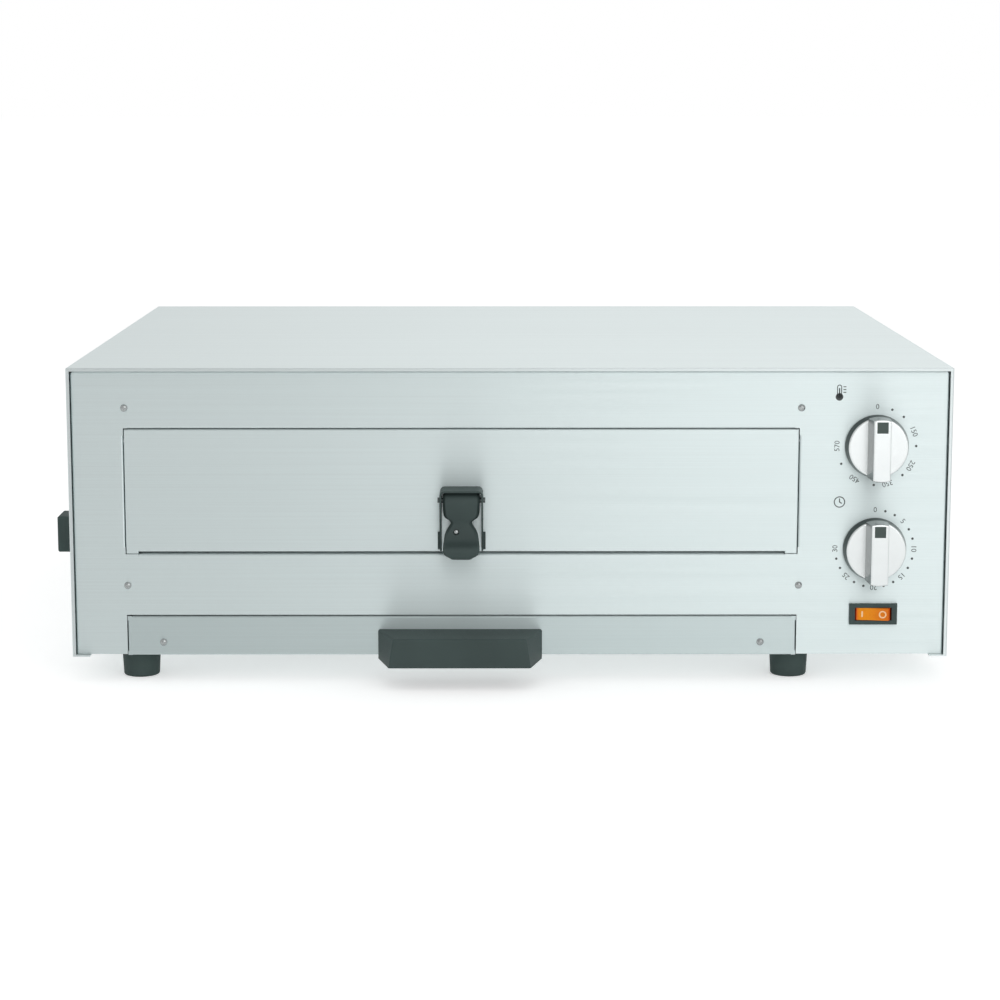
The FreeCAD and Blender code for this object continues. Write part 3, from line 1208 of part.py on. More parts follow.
def make_tray():
    front_l = opening_l + d.gap_side
    front_r = opening_r - d.gap_side
    front_t = d.tray_top - d.gap_tray
    pan_l = front_l + d.tray_inset
    pan_r = front_r - d.tray_inset
    pan_t = d.tray_floor + d.tray_wall
    pan_end = liner_end - d.tray_gap
    screw_holes = [(x, d.tray_screw_z, small_hole_r) for x in tray_screw_x]
    screw_holes += [(x, d.pull_screw_z, small_hole_r) for x in pull_screw_x]
    pan = new_body("tray_pan_body")
    slab(pan, "pan_form", "z", d.tray_floor, pan_t, [rect(pan_l, pan_r, d.skin, pan_end)])
    inside = rect(pan_l + d.skin, pan_r - d.skin, base_top, pan_end - d.skin)
    hollow(pan, "pan_inside", "z", d.tray_floor + d.skin, pan_t, [inside])
    hollow(pan, "pan_screw_holes", "y", d.skin, base_top, (), screw_holes)
    place(pan, "tray_pan")

    face = new_body("tray_front_body")
    sheet_outline = notched(front_l, front_r, d.tray_low, front_t, -d.bend,
                            d.tray_relief, d.tray_relief, d.tray_relief)
    slab(face, "face_sheet", "y", 0, d.skin, [sheet_outline], screw_holes)
    flange_z = (d.tray_low + d.tray_relief, front_t - d.tray_relief)
    flange_span = (front_l + d.tray_relief, front_r - d.tray_relief)
    slab(face, "face_left", "z", *flange_z, [flange(front_l, 1, d.tray_lip)])
    slab(face, "face_right", "z", *flange_z, [flange(front_r, -1, d.tray_lip)])
    slab(face, "face_top", "x", *flange_span, [flange_x(front_t, -1, d.tray_lip)])
    slab(face, "face_low", "x", *flange_span, [flange_x(d.tray_low, 1, d.tray_lip)])
    place(face, "tray_front")

    spots = [(x, 0, d.tray_screw_z) for x in tray_screw_x]
    screws("tray_screws", "front", spots, d.front_head, d.front_head_h, d.small_r, d.screw_len, True)

    pull = new_body("tray_pull_body")
    low = -d.pull_drop
    base_half = d.pull_base / 2
    face_half = d.pull_face / 2
    foot_half = d.pull_foot / 2
    edge_z = d.pull_high - d.pull_slope
    foot = rect(pull_mid - base_half, pull_mid + base_half, low, d.pull_high)
    brow = [
        (pull_mid - foot_half, low), (pull_mid + foot_half, low),
        (pull_mid + face_half, edge_z), (pull_mid - face_half, edge_z),
    ]
    loft = pull.newObject("PartDesign::AdditiveLoft", "pull_form")
    loft.Profile = new_sketch(pull, "pull_foot", "y", 0, [foot])
    loft.Sections = [new_sketch(pull, "pull_brow", "y", -d.pull_reach, [brow])]
    pull.Tip = loft
    reach = (-d.pull_reach, -d.pull_reach)
    along = (-d.pull_reach, 0)
    soften(pull, "pull_edges", d.pull_round,
           ((pull_mid - face_half, pull_mid + face_half), reach, (edge_z, edge_z)),
           ((pull_mid - base_half, pull_mid - face_half), along, (edge_z, d.pull_high)),
           ((pull_mid + face_half, pull_mid + base_half), along, (edge_z, d.pull_high)),
           ((pull_mid - foot_half, pull_mid - face_half), reach, (low, edge_z)),
           ((pull_mid + face_half, pull_mid + foot_half), reach, (low, edge_z)))
    roof = d.pull_high - d.pull_wall
    well_base = base_half - d.pull_wall * 2
    well_face = face_half - d.pull_wall
    well = [
        (pull_mid - well_base, -d.pull_wall), (pull_mid - well_face, d.pull_wall - d.pull_reach),
        (pull_mid + well_face, d.pull_wall - d.pull_reach), (pull_mid + well_base, -d.pull_wall),
    ]
    hollow(pull, "pull_well", "z", low, roof - d.pull_slope, [well])
    pull_holes = [(x, d.pull_screw_z, d.small_r) for x in pull_screw_x]
    hollow(pull, "pull_screw_holes", "y", -d.pull_wall, 0, (), pull_holes)
    place(pull, "tray_pull")
    spots = [(x, base_top, d.pull_screw_z) for x in pull_screw_x]
    screws("pull_screws", "rear", spots, d.head_r, d.head_h, d.small_r, base_top + d.pull_wall - d.fit)

    runners = []
    for start in (pan_l + d.runner_in, pan_r - d.runner_in - d.runner_w):
        runners.append(block("runner", (start, start + d.runner_w), (d.turn + base_top, pan_end),
                             (base_top, d.tray_floor - d.fit)))
    place(group("tray_runners", runners), "tray_runners")


def make_gland():
    gland = new_body("cord_gland_body")
    lip = d.gland_out / 4
    outline = [
        (d.gland_bore, -d.gland_in - d.skin), (d.gland_r, -d.gland_in - d.skin), (d.gland_r, 0),
        (d.gland_flange, 0), (d.gland_flange, lip), (d.gland_r, lip), (d.gland_nose, d.gland_out),
        (d.gland_bore, d.gland_out),
    ]
    spin(gland, "gland_form", "z", outline, "V_Axis")
    place(gland, "cord_gland", knob_x, rear_face, d.gland_z)

    block_x = (knob_x - d.block_w / 2, knob_x + d.block_w / 2)
    case = block("block_case", block_x, (block_y, block_y + d.block_d), (base_top, base_top + d.block_h))
    grooves = []
    for step in (-1, 0, 1):
        mid = knob_x + d.block_w * step / 3
        grooves.append(bar("block_well", "z", d.screw_r, (mid, block_y + d.block_d / 2),
                           base_top + d.block_h / 2, base_top + d.block_h))
    place(cut("terminal_block", case, grooves), "terminal_block")


def tube(points, radius, turn):
    """Round tube along points with rounded turns."""
    spots = [Vector(*[size(amount).number for amount in point]) for point in points]
    radius = size(radius).number
    turn = size(turn).number
    edges = []
    start = spots[0]
    for before, corner, after in zip(spots, spots[1:], spots[2:]):
        inward = (before - corner).normalize()
        onward = (after - corner).normalize()
        angle = inward.getAngle(onward)
        trim = turn / math.tan(angle / 2)
        first = corner + inward * trim
        last = corner + onward * trim
        middle = corner + (inward + onward).normalize() * (turn / math.sin(angle / 2) - turn)
        edges.append(Part.LineSegment(start, first).toShape())
        edges.append(Part.Arc(first, middle, last).toShape())
        start = last
    edges.append(Part.LineSegment(start, spots[-1]).toShape())
    spine = Part.Wire(edges)
    ring = Part.Wire([Part.makeCircle(radius, spots[0], spots[1] - spots[0])])
    return spine.makePipeShell([ring], True, False)


def make_wiring():
    x = knob_x
    tab_end = d.case_d + d.tab_len
    loop_y = d.skin + d.time_deep + d.turn
    wire_z = base_top + d.block_h / 2
    heat_back = d.skin + d.heat_deep
    time_back = d.skin + d.time_deep
    pin_x = liner_r + d.element_out + d.pin_len
    inner_x = x - d.tab_pitch
    outer_x = x + d.tab_pitch
    time_low = time_z - d.time_box / 4
    time_high = time_z + d.time_box / 4
    heat_low = heat_z - d.heat_box / 4
    first_y, last_y = element_ys
    routes = (
        ((inner_x, tab_end, d.switch_z), (inner_x, loop_y, d.switch_z), (inner_x, loop_y, wire_z),
         (inner_x, block_y, wire_z)),
        ((x, tab_end, d.switch_z), (x, loop_y, d.switch_z), (x, loop_y, time_low), (x, time_back, time_low)),
        ((outer_x, time_back, time_high), (outer_x, loop_y, time_high), (outer_x, loop_y, heat_low),
         (outer_x, heat_back, heat_low)),
        ((outer_x, heat_back, upper_z), (outer_x, first_y, upper_z), (pin_x, first_y, upper_z)),
        ((pin_x, last_y, upper_z), (outer_x, last_y, upper_z), (outer_x, last_y, lower_z),
         (pin_x, last_y, lower_z)),
        ((pin_x, first_y, lower_z), (outer_x, first_y, lower_z), (outer_x, first_y, wire_z),
         (outer_x, block_y, wire_z)),
    )
    shapes = [tube(route, d.wire_r, d.wire_r * 4) for route in routes]
    wiring = doc.addObject("Part::Feature", "wiring")
    wiring.Shape = Part.makeCompound(shapes)
    place(wiring, "wiring")

    bulb_x = liner_r - d.bulb_in
    bulb_end = capillary_y - d.turn
    spots = (
        (bulb_x, bulb_end, bulb_z), (bulb_x, capillary_y, bulb_z),
        (inner_x, capillary_y, bulb_z), (inner_x, heat_back, bulb_z),
    )
    line = tube(spots, d.capillary_r, d.capillary_r * 6)
    start = Vector(bulb_x.number, (bulb_end - d.bulb_len).number, bulb_z.number)
    bulb = Part.makeCylinder(d.bulb_r.number, d.bulb_len.number, start, Vector(0, 1, 0))
    item = doc.addObject("Part::Feature", "thermostat_bulb")
    item.Shape = bulb.fuse(line)
    place(item, "thermostat_bulb")


def check():
    """Stop if any object failed or any sub-part isn't made of valid solids."""
    for item in doc.Objects:
        bad = [state for state in item.State if state in ("Invalid", "Error")]
        if bad:
            raise RuntimeError(f"{item.Label} is {bad}")
    for item in nodes:
        if item.Shape.isNull() or not item.Shape.isValid() or not item.Shape.Solids:
            raise RuntimeError(f"{item.Label} has no valid solid")


make_outer_wrap()
make_front_panel()
make_base_pan()
make_rear_panel()
make_liner()
make_element("upper_element", upper_z)
make_element("lower_element", lower_z)
make_element_fittings()
make_rack()
make_feet()
make_casing_screws()
make_control("thermostat_body", heat_z, d.heat_box, d.heat_deep)
make_control("timer_body", time_z, d.time_box, d.time_deep)
make_knob("temperature", heat_z)
make_knob("timer", time_z)
make_switch()
make_hinge()
make_door()
make_grip()
make_tray()
make_gland()
make_wiring()
doc.recompute()
check()

os.makedirs("parts", exist_ok=True)
for item in nodes:
    item.Shape.exportStep(f"parts/{item.Label}.step")
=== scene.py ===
import json
import math

import bmesh
import bpy
from mathutils import Matrix, Vector
from mathutils.bvhtree import BVHTree


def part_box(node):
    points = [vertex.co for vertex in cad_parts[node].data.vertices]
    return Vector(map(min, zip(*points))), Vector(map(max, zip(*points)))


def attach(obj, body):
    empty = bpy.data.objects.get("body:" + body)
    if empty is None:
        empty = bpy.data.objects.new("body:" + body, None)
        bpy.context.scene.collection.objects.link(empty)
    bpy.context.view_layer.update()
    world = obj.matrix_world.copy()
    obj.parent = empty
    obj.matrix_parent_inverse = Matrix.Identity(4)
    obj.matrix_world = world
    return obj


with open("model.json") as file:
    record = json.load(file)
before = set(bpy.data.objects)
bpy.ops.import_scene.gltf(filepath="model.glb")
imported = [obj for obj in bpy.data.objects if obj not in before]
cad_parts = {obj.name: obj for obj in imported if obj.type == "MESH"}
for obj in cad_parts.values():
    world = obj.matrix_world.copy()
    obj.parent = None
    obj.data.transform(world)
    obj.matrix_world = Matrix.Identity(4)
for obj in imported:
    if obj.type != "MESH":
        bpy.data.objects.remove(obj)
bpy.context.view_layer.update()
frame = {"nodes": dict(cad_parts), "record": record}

nodes = frame["nodes"]
scene = bpy.context.scene
scene.view_settings.view_transform = "Standard"
MM = 0.001


# Materials

class Shade:
    """One node material: a Principled shader and the textures that feed it."""

    def __init__(self, name, **values):
        self.material = bpy.data.materials.new(name)
        self.material.use_nodes = True
        self.tree = self.material.node_tree
        self.shader = self.tree.nodes["Principled BSDF"]
        for socket, value in values.items():
            self.shader.inputs[socket.replace("_", " ")].default_value = value
        self.coords = self.tree.nodes.new("ShaderNodeTexCoord")

    def node(self, kind, *inputs, **settings):
        """A new node with these settings, its first inputs fed in order."""
        made = self.tree.nodes.new("ShaderNode" + kind)
        for key, value in settings.items():
            setattr(made, key, value)
        for index, value in enumerate(inputs):
            self.feed(made.inputs[index], value)
        return made

    def feed(self, socket, value):
        """Links a socket to another one, or sets its constant."""
        if isinstance(value, bpy.types.NodeSocket):
            self.tree.links.new(value, socket)
        else:
            socket.default_value = value

    def to(self, socket, value):
        self.feed(self.shader.inputs[socket], value)

    def math(self, operation, *inputs):
        return self.node("Math", *inputs, operation=operation).outputs[0]

    def vector(self, operation, *inputs):
        return self.node("VectorMath", *inputs, operation=operation).outputs[0]

    def place(self, scale=(1.0, 1.0, 1.0)):
        """The object's own coordinates in metres, times this scale."""
        return self.vector("MULTIPLY", self.coords.outputs["Object"], scale)

    def noise(self, vector, scale, detail=3.0, rough=0.5):
        made = self.node("TexNoise", vector)
        made.inputs["Scale"].default_value = scale
        made.inputs["Detail"].default_value = detail
        made.inputs["Roughness"].default_value = rough
        return made.outputs[0]

    def cells(self, vector, scale, output="Distance"):
        made = self.node("TexVoronoi", vector)
        made.inputs["Scale"].default_value = scale
        return made.outputs[output]

    def range(self, value, low, high, start=0.3, end=0.7):
        """Maps a value from start..end to low..high."""
        return self.node("MapRange", value, start, end, low, high).outputs[0]

    def mix(self, factor, first, second):
        made = self.node("Mix", data_type="RGBA")
        self.feed(made.inputs[0], factor)
        self.feed(made.inputs[6], first)
        self.feed(made.inputs[7], second)
        return made.outputs[2]

    def mix_vector(self, factor, first, second):
        made = self.node("Mix", data_type="VECTOR")
        self.feed(made.inputs[0], factor)
        self.feed(made.inputs[4], first)
        self.feed(made.inputs[5], second)
        return made.outputs[1]

    def bump(self, height, strength, distance):
        made = self.node("Bump")
        made.inputs["Strength"].default_value = strength
        made.inputs["Distance"].default_value = distance
        self.feed(made.inputs["Height"], height)
        self.to("Normal", made.outputs[0])


def colour(red, green, blue, scale=1.0):
    return (red * scale, green * scale, blue * scale, 1.0)


def brushed(name, tone, rough, anisotropy):
    """Brushed stainless sheet: grain along the width, or along the depth on the sides."""
    shade = Shade(name, Metallic=1.0, Anisotropic=anisotropy)
    side = shade.node("SeparateXYZ", shade.coords.outputs["Normal"]).outputs[0]
    is_side = shade.math("GREATER_THAN", shade.math("ABSOLUTE", side), 0.7)
    along_x = shade.place((5.0, 1400.0, 1400.0))
    along_y = shade.place((1400.0, 5.0, 1400.0))
    grain = shade.mix_vector(is_side, along_x, along_y)
    fine = shade.noise(grain, 1.0, 2.0)
    broad = shade.noise(grain, 0.12, 2.0)
    cloud = shade.noise(shade.place((1.0, 1.0, 1.6)), 4.0, 2.0)
    streak = shade.math("ADD", shade.math("MULTIPLY", fine, 0.6), shade.math("MULTIPLY", broad, 0.4))
    worn = shade.mix(shade.range(streak, 0.0, 1.0), colour(*tone, 0.95), colour(*tone, 1.04))
    shade.to("Base Color", shade.mix(shade.range(cloud, 0.0, 0.12), worn, colour(*tone, 0.93)))
    shade.to("Roughness", shade.range(streak, rough - 0.04, rough + 0.05))
    normal = shade.node("NewGeometry").outputs["Normal"]
    across = shade.vector("CROSS_PRODUCT", normal, (1.0, 0.0, 0.0))
    # The small lift keeps the tangent from vanishing on faces that look along X.
    shade.to("Tangent", shade.vector("ADD", across, (0.0, 0.0, 0.02)))
    shade.bump(fine, 0.06, 0.00005)
    return shade.material


def plated(name, tone, rough, spread=0.06):
    """Plated or turned metal with faint handling marks."""
    shade = Shade(name, Metallic=1.0)
    marks = shade.noise(shade.place(), 260.0, 4.0)
    smear = shade.noise(shade.place(), 35.0, 2.0)
    shade.to("Base Color", shade.mix(shade.range(smear, 0.0, 1.0), colour(*tone, 0.94), colour(*tone, 1.03)))
    shade.to("Roughness", shade.range(marks, max(rough - spread / 2, 0.02), rough + spread))
    shade.bump(marks, 0.03, 0.00005)
    return shade.material


def knob_plate(name, tone, skirt_front):
    """Satin plated dial with painted shade: its skirt's wall is painted black and the walls of its bar are
    painted darker.
    """
    shade = Shade(name, Metallic=1.0)
    smear = shade.noise(shade.place(), 60.0, 3.0)
    marks = shade.noise(shade.place(), 500.0, 3.0)
    facing_y = shade.node("SeparateXYZ", shade.coords.outputs["Normal"]).outputs[1]
    facing = shade.math("ABSOLUTE", facing_y)
    wall = shade.math("LESS_THAN", facing, 0.5)
    depth = shade.node("SeparateXYZ", shade.coords.outputs["Object"]).outputs[1]
    # Painted shade: the skirt's wall is painted black, standing in for the dark shade round the knob.
    skirt_painted_black = shade.math("MULTIPLY", wall, shade.math("GREATER_THAN", depth, skirt_front))
    face = shade.mix(shade.range(smear, 0.0, 1.0), colour(*tone, 0.97), colour(*tone, 1.02))
    # Painted shade: the walls of the bar are painted darker than the face.
    walls_painted_dark = shade.mix(wall, face, colour(*tone, 0.42))
    shade.to("Base Color", shade.mix(skirt_painted_black, walls_painted_dark, colour(0.035, 0.052, 0.048)))
    shade.to("Roughness", shade.range(marks, 0.22, 0.27))
    return shade.material


def aluminised(name, tone):
    """Coated steel of the oven's inside: soft spangle and a rolled grain."""
    shade = Shade(name, Metallic=0.9)
    spangle = shade.cells(shade.place(), 170.0, output="Color")
    grey = shade.node("RGBToBW", spangle).outputs[0]
    rolled = shade.noise(shade.place((8.0, 500.0, 500.0)), 1.0, 2.0)
    stain = shade.noise(shade.place(), 9.0, 4.0)
    flakes = shade.mix(shade.range(grey, 0.0, 1.0, 0.0, 1.0), colour(*tone, 0.86), colour(*tone, 1.08))
    stained = shade.range(stain, 0.0, 0.35, 0.45, 0.75)
    shade.to("Base Color", shade.mix(stained, flakes, colour(0.42, 0.38, 0.31)))
    shade.to("Roughness", shade.range(rolled, 0.36, 0.5))
    shade.bump(rolled, 0.05, 0.0001)
    return shade.material


def moulded(name, tone, rough, grain=1400.0, strength=0.08, gloss=0.45):
    """Moulded plastic or rubber with a fine spark-eroded skin."""
    shade = Shade(name, Metallic=0.0, Specular_IOR_Level=gloss)
    skin = shade.noise(shade.place(), grain, 3.0)
    flow = shade.noise(shade.place(), 22.0, 2.0)
    shade.to("Base Color", shade.mix(shade.range(flow, 0.0, 1.0), colour(*tone, 0.9), colour(*tone, 1.1)))
    shade.to("Roughness", shade.range(skin, rough - 0.05, rough + 0.06))
    shade.bump(skin, strength, 0.0001)
    return shade.material


def oxidised(name):
    """Heated sheath of an element: dark with straw and blue heat tints."""
    shade = Shade(name, Metallic=0.7)
    tint = shade.noise(shade.place(), 14.0, 3.0)
    scale = shade.noise(shade.place(), 420.0, 4.0)
    tinted = shade.range(tint, 0.0, 1.0, 0.35, 0.65)
    warm = shade.mix(tinted, colour(0.10, 0.105, 0.11), colour(0.19, 0.15, 0.11))
    shade.to("Base Color", shade.mix(shade.range(scale, 0.0, 0.5), warm, colour(0.07, 0.07, 0.075)))
    shade.to("Roughness", shade.range(scale, 0.42, 0.66))
    shade.bump(scale, 0.15, 0.0001)
    return shade.material


def fibre(name):
    """Pressed mineral fibre board."""
    shade = Shade(name, Metallic=0.0, Roughness=0.95)
    hair = shade.noise(shade.place((1.0, 6.0, 1.0)), 240.0, 5.0, 0.65)
    lump = shade.noise(shade.place(), 40.0, 3.0)
    pale = shade.range(lump, 0.0, 1.0)
    shade.to("Base Color", shade.mix(pale, colour(0.60, 0.56, 0.45), colour(0.76, 0.73, 0.63)))
    shade.bump(hair, 0.5, 0.0006)
    return shade.material


def braided(name):
    """Woven sleeve of the inner wires, with painted shade in the gaps between its threads."""
    shade = Shade(name, Metallic=0.0, Roughness=0.85)
    weave = shade.cells(shade.place(), 1300.0)
    # Painted shade: the gaps between the threads are painted darker.
    gaps_painted_shade = shade.range(weave, 0.0, 1.0, 0.1, 0.6)
    shade.to("Base Color", shade.mix(gaps_painted_shade, colour(0.66, 0.62, 0.53), colour(0.42, 0.39, 0.33)))
    shade.bump(weave, 0.5, 0.0003)
    return shade.material


def glazed(name):
    """Ceramic with fine iron specks."""
    shade = Shade(name, Metallic=0.0, Roughness=0.28)
    speck = shade.cells(shade.place(), 700.0)
    iron = shade.range(speck, 1.0, 0.0, 0.05, 0.2)
    shade.to("Base Color", shade.mix(iron, colour(0.78, 0.74, 0.65), colour(0.55, 0.48, 0.38)))
    shade.bump(shade.noise(shade.place(), 180.0), 0.08, 0.0002)
    return shade.material


def lit_orange(name, middle, half):
    """Lamp-lit rocker: amber at the left, deeper orange at the right as painted shade, with a red rim."""
    shade = Shade(name, Metallic=0.0, Roughness=0.35, Specular_IOR_Level=0.2, Subsurface_Weight=0.12,
                  Emission_Strength=0.1)
    shade.shader.inputs["Subsurface Radius"].default_value = (0.004, 0.0015, 0.0005)
    shifted = shade.vector("SUBTRACT", shade.coords.outputs["Object"], middle)
    scaled = shade.node("SeparateXYZ", shade.vector("DIVIDE", shifted, half))
    across = scaled.outputs[0]
    height = shade.math("ABSOLUTE", scaled.outputs[2])
    edge = shade.math("MAXIMUM", shade.math("ABSOLUTE", across), height)
    ribs = shade.noise(shade.place(), 600.0, 2.0)
    rim = shade.range(edge, 0.0, 1.0, 0.78, 0.98)
    # Painted shade: the rocker turns deeper orange towards its right.
    right_painted_shade = shade.range(across, 0.0, 1.0, -0.3, 0.8)
    amber = shade.mix(right_painted_shade, colour(0.80, 0.27, 0.004), colour(0.70, 0.15, 0.006))
    lively = shade.mix(shade.range(ribs, 0.0, 0.3), amber, colour(0.62, 0.16, 0.004))
    tone = shade.mix(rim, lively, colour(0.62, 0.05, 0.010))
    shade.to("Base Color", tone)
    shade.to("Emission Color", tone)
    shade.bump(ribs, 0.05, 0.0001)
    return shade.material


def printed(name, tone):
    """Screen printed ink."""
    shade = Shade(name, Metallic=0.0, Roughness=0.5)
    grain = shade.noise(shade.place(), 2500.0, 2.0)
    shade.to("Base Color", shade.mix(shade.range(grain, 0.0, 1.0), colour(*tone, 0.85), colour(*tone, 1.2)))
    return shade.material


panel_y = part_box("front_panel")[0].y
SKIRT_DEPTH = 9.3 * MM
skirt_front = panel_y - SKIRT_DEPTH
rocker_low, rocker_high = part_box("switch_rocker")
rocker_mid = (rocker_low + rocker_high) / 2
rocker_half = (rocker_high - rocker_low) / 2
SHEET_ROUGH = 0.5
SHEET_GRAIN = 0.9
STEEL = (0.725, 0.805, 0.805)
CASING = (0.72, 0.78, 0.78)
# Painted shade: the tray's steel is darker than the door's, for the darker floor it reflects.
TRAY_SHADED_STEEL = (0.59, 0.67, 0.67)
slots = {
    "casing_steel": brushed("brushed_casing", CASING, SHEET_ROUGH, SHEET_GRAIN),
    "panel_steel": brushed("brushed_panel", STEEL, SHEET_ROUGH, SHEET_GRAIN),
    "door_steel": brushed("brushed_door", STEEL, SHEET_ROUGH, SHEET_GRAIN),
    "bracket_steel": brushed("brushed_bracket", STEEL, 0.42, 0.8),
    "liner_steel": aluminised("aluminised_liner", (0.52, 0.53, 0.52)),
    "wire_chrome": plated("chrome_wire", (0.50, 0.51, 0.52), 0.16),
    "element_sheath": oxidised("element_oxide"),
    "terminal_steel": plated("terminal_plate", (0.58, 0.57, 0.53), 0.3),
    "ceramic": glazed("ceramic_bush"),
    "insulation": fibre("insulation_fibre"),
    "screw_steel": plated("screw_plate", (0.36, 0.38, 0.38), 0.2),
    "rubber": moulded("rubber_black", (0.046, 0.070, 0.066), 0.72, 900.0, 0.15, 0.35),
    "black_plastic": moulded("plastic_black", (0.049, 0.071, 0.068), 0.5, 1400.0, 0.08, 0.2),
    "control_plastic": moulded("plastic_cream", (0.66, 0.62, 0.52), 0.5),
    "copper_line": plated("copper_drawn", (0.72, 0.40, 0.25), 0.3),
    "wire_cover": braided("wire_braid"),
    "knob_chrome": knob_plate("knob_satin", (0.70, 0.73, 0.73), skirt_front),
    "knob_mark": moulded("knob_black", (0.045, 0.068, 0.061), 0.45),
    "shaft_steel": plated("shaft_turned", (0.56, 0.56, 0.56), 0.25),
    "rocker_orange": lit_orange("rocker_amber", rocker_mid, rocker_half),
}
for part in frame["record"]["subparts"]:
    mesh = nodes[part["node"]].data
    mesh.materials.clear()
    mesh.materials.append(slots[part["material_slot"]])
# The tray's front is painted darker than the door, as painted shade of the darker floor that it reflects,
# and the grip's pin is black.
nodes["tray_front"].data.materials[0] = brushed("brushed_tray_shaded", TRAY_SHADED_STEEL, SHEET_ROUGH, SHEET_GRAIN)
nodes["grip_pin"].data.materials[0] = plated("pin_blacked", (0.10, 0.115, 0.115), 0.35)


# Printed scales and signs

ink = printed("ink_dark", (0.05, 0.06, 0.06))
pale_ink = printed("ink_pale", (0.92, 0.62, 0.36))
INK = 0.04 * MM
NUMBER_SIZE = 5.0 * MM
SCALE_RADIUS = 26.8 * MM
DOT_RADIUS = 0.85 * MM


def text_mesh(words, size):
    """A flat closed text in the XY plane, centred on the origin: made at size 1, then scaled."""
    curve = bpy.data.curves.new("words", "FONT")
    curve.body = words
    curve.size = 1.0
    curve.align_x = "CENTER"
    curve.align_y = "CENTER"
    curve.extrude = INK / 2 / size
    curve.resolution_u = 4
    holder = bpy.data.objects.new("words", curve)
    mesh = bpy.data.meshes.new_from_object(holder)
    bpy.data.objects.remove(holder)
    bpy.data.curves.remove(curve)
    mesh.transform(Matrix.Scale(size, 4))
    return mesh


def add_text(form, words, size, matrix):
    """Adds these words, placed by the matrix."""
    mesh = text_mesh(words, size)
    mesh.transform(matrix)
    form.from_mesh(mesh)
    bpy.data.meshes.remove(mesh)


def add_plate(form, outline, matrix, inner=None):
    """A thin closed plate of this outline, or the ring between two outlines of as many points."""
    half = INK / 2
    tops = [form.verts.new(matrix @ Vector((x, y, half))) for x, y in outline]
    lows = [form.verts.new(matrix @ Vector((x, y, -half))) for x, y in outline]
    count = len(outline)
    for k in range(count):
        n = (k + 1) % count
        form.faces.new((tops[k], lows[k], lows[n], tops[n]))
    if inner is None:
        form.faces.new(tops)
        form.faces.new(lows[::-1])
        return
    in_tops = [form.verts.new(matrix @ Vector((x, y, half))) for x, y in inner]
    in_lows = [form.verts.new(matrix @ Vector((x, y, -half))) for x, y in inner]
    for k in range(count):
        n = (k + 1) % count
        form.faces.new((tops[k], tops[n], in_tops[n], in_tops[k]))
        form.faces.new((lows[n], lows[k], in_lows[k], in_lows[n]))
        form.faces.new((in_tops[n], in_lows[n], in_lows[k], in_tops[k]))


def ring(radius, count=28, middle=(0.0, 0.0)):
    """Outline of a disc."""
    turn = 2 * math.pi / count
    return [(middle[0] + radius * math.cos(k * turn), middle[1] + radius * math.sin(k * turn))
            for k in range(count)]


def pill(length, width, middle=(0.0, 0.0), count=8):
    """Outline of an upright bar with round ends."""
    radius = width / 2
    reach = length / 2 - radius
    points = []
    for start, end in ((0.0, reach), (math.pi, -reach)):
        for k in range(count + 1):
            turn = start + math.pi * k / count
            x = middle[0] + radius * math.cos(turn)
            y = middle[1] + end + radius * math.sin(turn)
            points.append((x, y))
    return points


def finish_piece(form, name, material, body):
    """Makes the form an object that rides on this body."""
    bmesh.ops.recalc_face_normals(form, faces=form.faces)
    mesh = bpy.data.meshes.new(name)
    form.to_mesh(mesh)
    form.free()
    mesh.materials.append(material)
    piece = bpy.data.objects.new(name, mesh)
    scene.collection.objects.link(piece)
    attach(piece, body)


def on_panel(x, z, turn=0.0):
    """Places XY work on the front panel, facing forward and turned clockwise."""
    upright = Matrix.Rotation(math.pi / 2, 4, "X")
    return Matrix.Translation((x, panel_y - INK / 2, z)) @ upright @ Matrix.Rotation(-turn, 4, "Z")


def middle_of(name):
    """The x and z of a node's middle."""
    low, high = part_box(name)
    return (low.x + high.x) / 2, (low.z + high.z) / 2


def scale_piece(name, knob, numbers, dots):
    """Numbers and dots around a dial; angles run clockwise from the top."""
    x, z = middle_of(knob)
    form = bmesh.new()

    def around(angle):
        turn = math.radians(angle)
        return on_panel(x + SCALE_RADIUS * math.sin(turn), z + SCALE_RADIUS * math.cos(turn), turn)

    for angle, words in numbers:
        add_text(form, words, NUMBER_SIZE, around(angle))
    for angle in dots:
        add_plate(form, ring(DOT_RADIUS, 16), around(angle))
    finish_piece(form, name, ink, "oven")


scale_piece(
    "temperature_scale", "temperature_knob",
    [(0, "0"), (68, "150"), (120, "250"), (163, "350"), (213, "450"), (270, "570")],
    [22, 42, 90, 138, 183, 243])
scale_piece(
    "timer_scale", "timer_knob",
    [(45 * k, str(5 * k)) for k in range(7)],
    [45 * k + 15 * step for k in range(6) for step in (1, 2)])

# Thermometer sign: a hollow tube with its column, a bulb and three ticks
knob_x, heat_z = middle_of("temperature_knob")
time_z = middle_of("timer_knob")[1]
heat_sign = bmesh.new()
sign_place = on_panel(knob_x - 26 * MM, heat_z + 37.5 * MM)
add_plate(heat_sign, pill(9 * MM, 3.4 * MM), sign_place, pill(7.8 * MM, 2.2 * MM))
add_plate(heat_sign, ring(2.6 * MM, 24, (0.0, -3.9 * MM)), sign_place)
add_plate(heat_sign, pill(5.6 * MM, 0.9 * MM, (0.0, -0.6 * MM)), sign_place)
TICK_START = 2.6 * MM
TICK_END = 4.6 * MM
TICK_HALF = 0.3 * MM
TICK_TOP = 3.0 * MM
TICK_STEP = 1.9 * MM
for step in range(3):
    height = TICK_TOP - TICK_STEP * step
    low, high = height - TICK_HALF, height + TICK_HALF
    tick = [(TICK_START, low), (TICK_END, low), (TICK_END, high), (TICK_START, high)]
    add_plate(heat_sign, tick, sign_place)
finish_piece(heat_sign, "temperature_sign", ink, "oven")

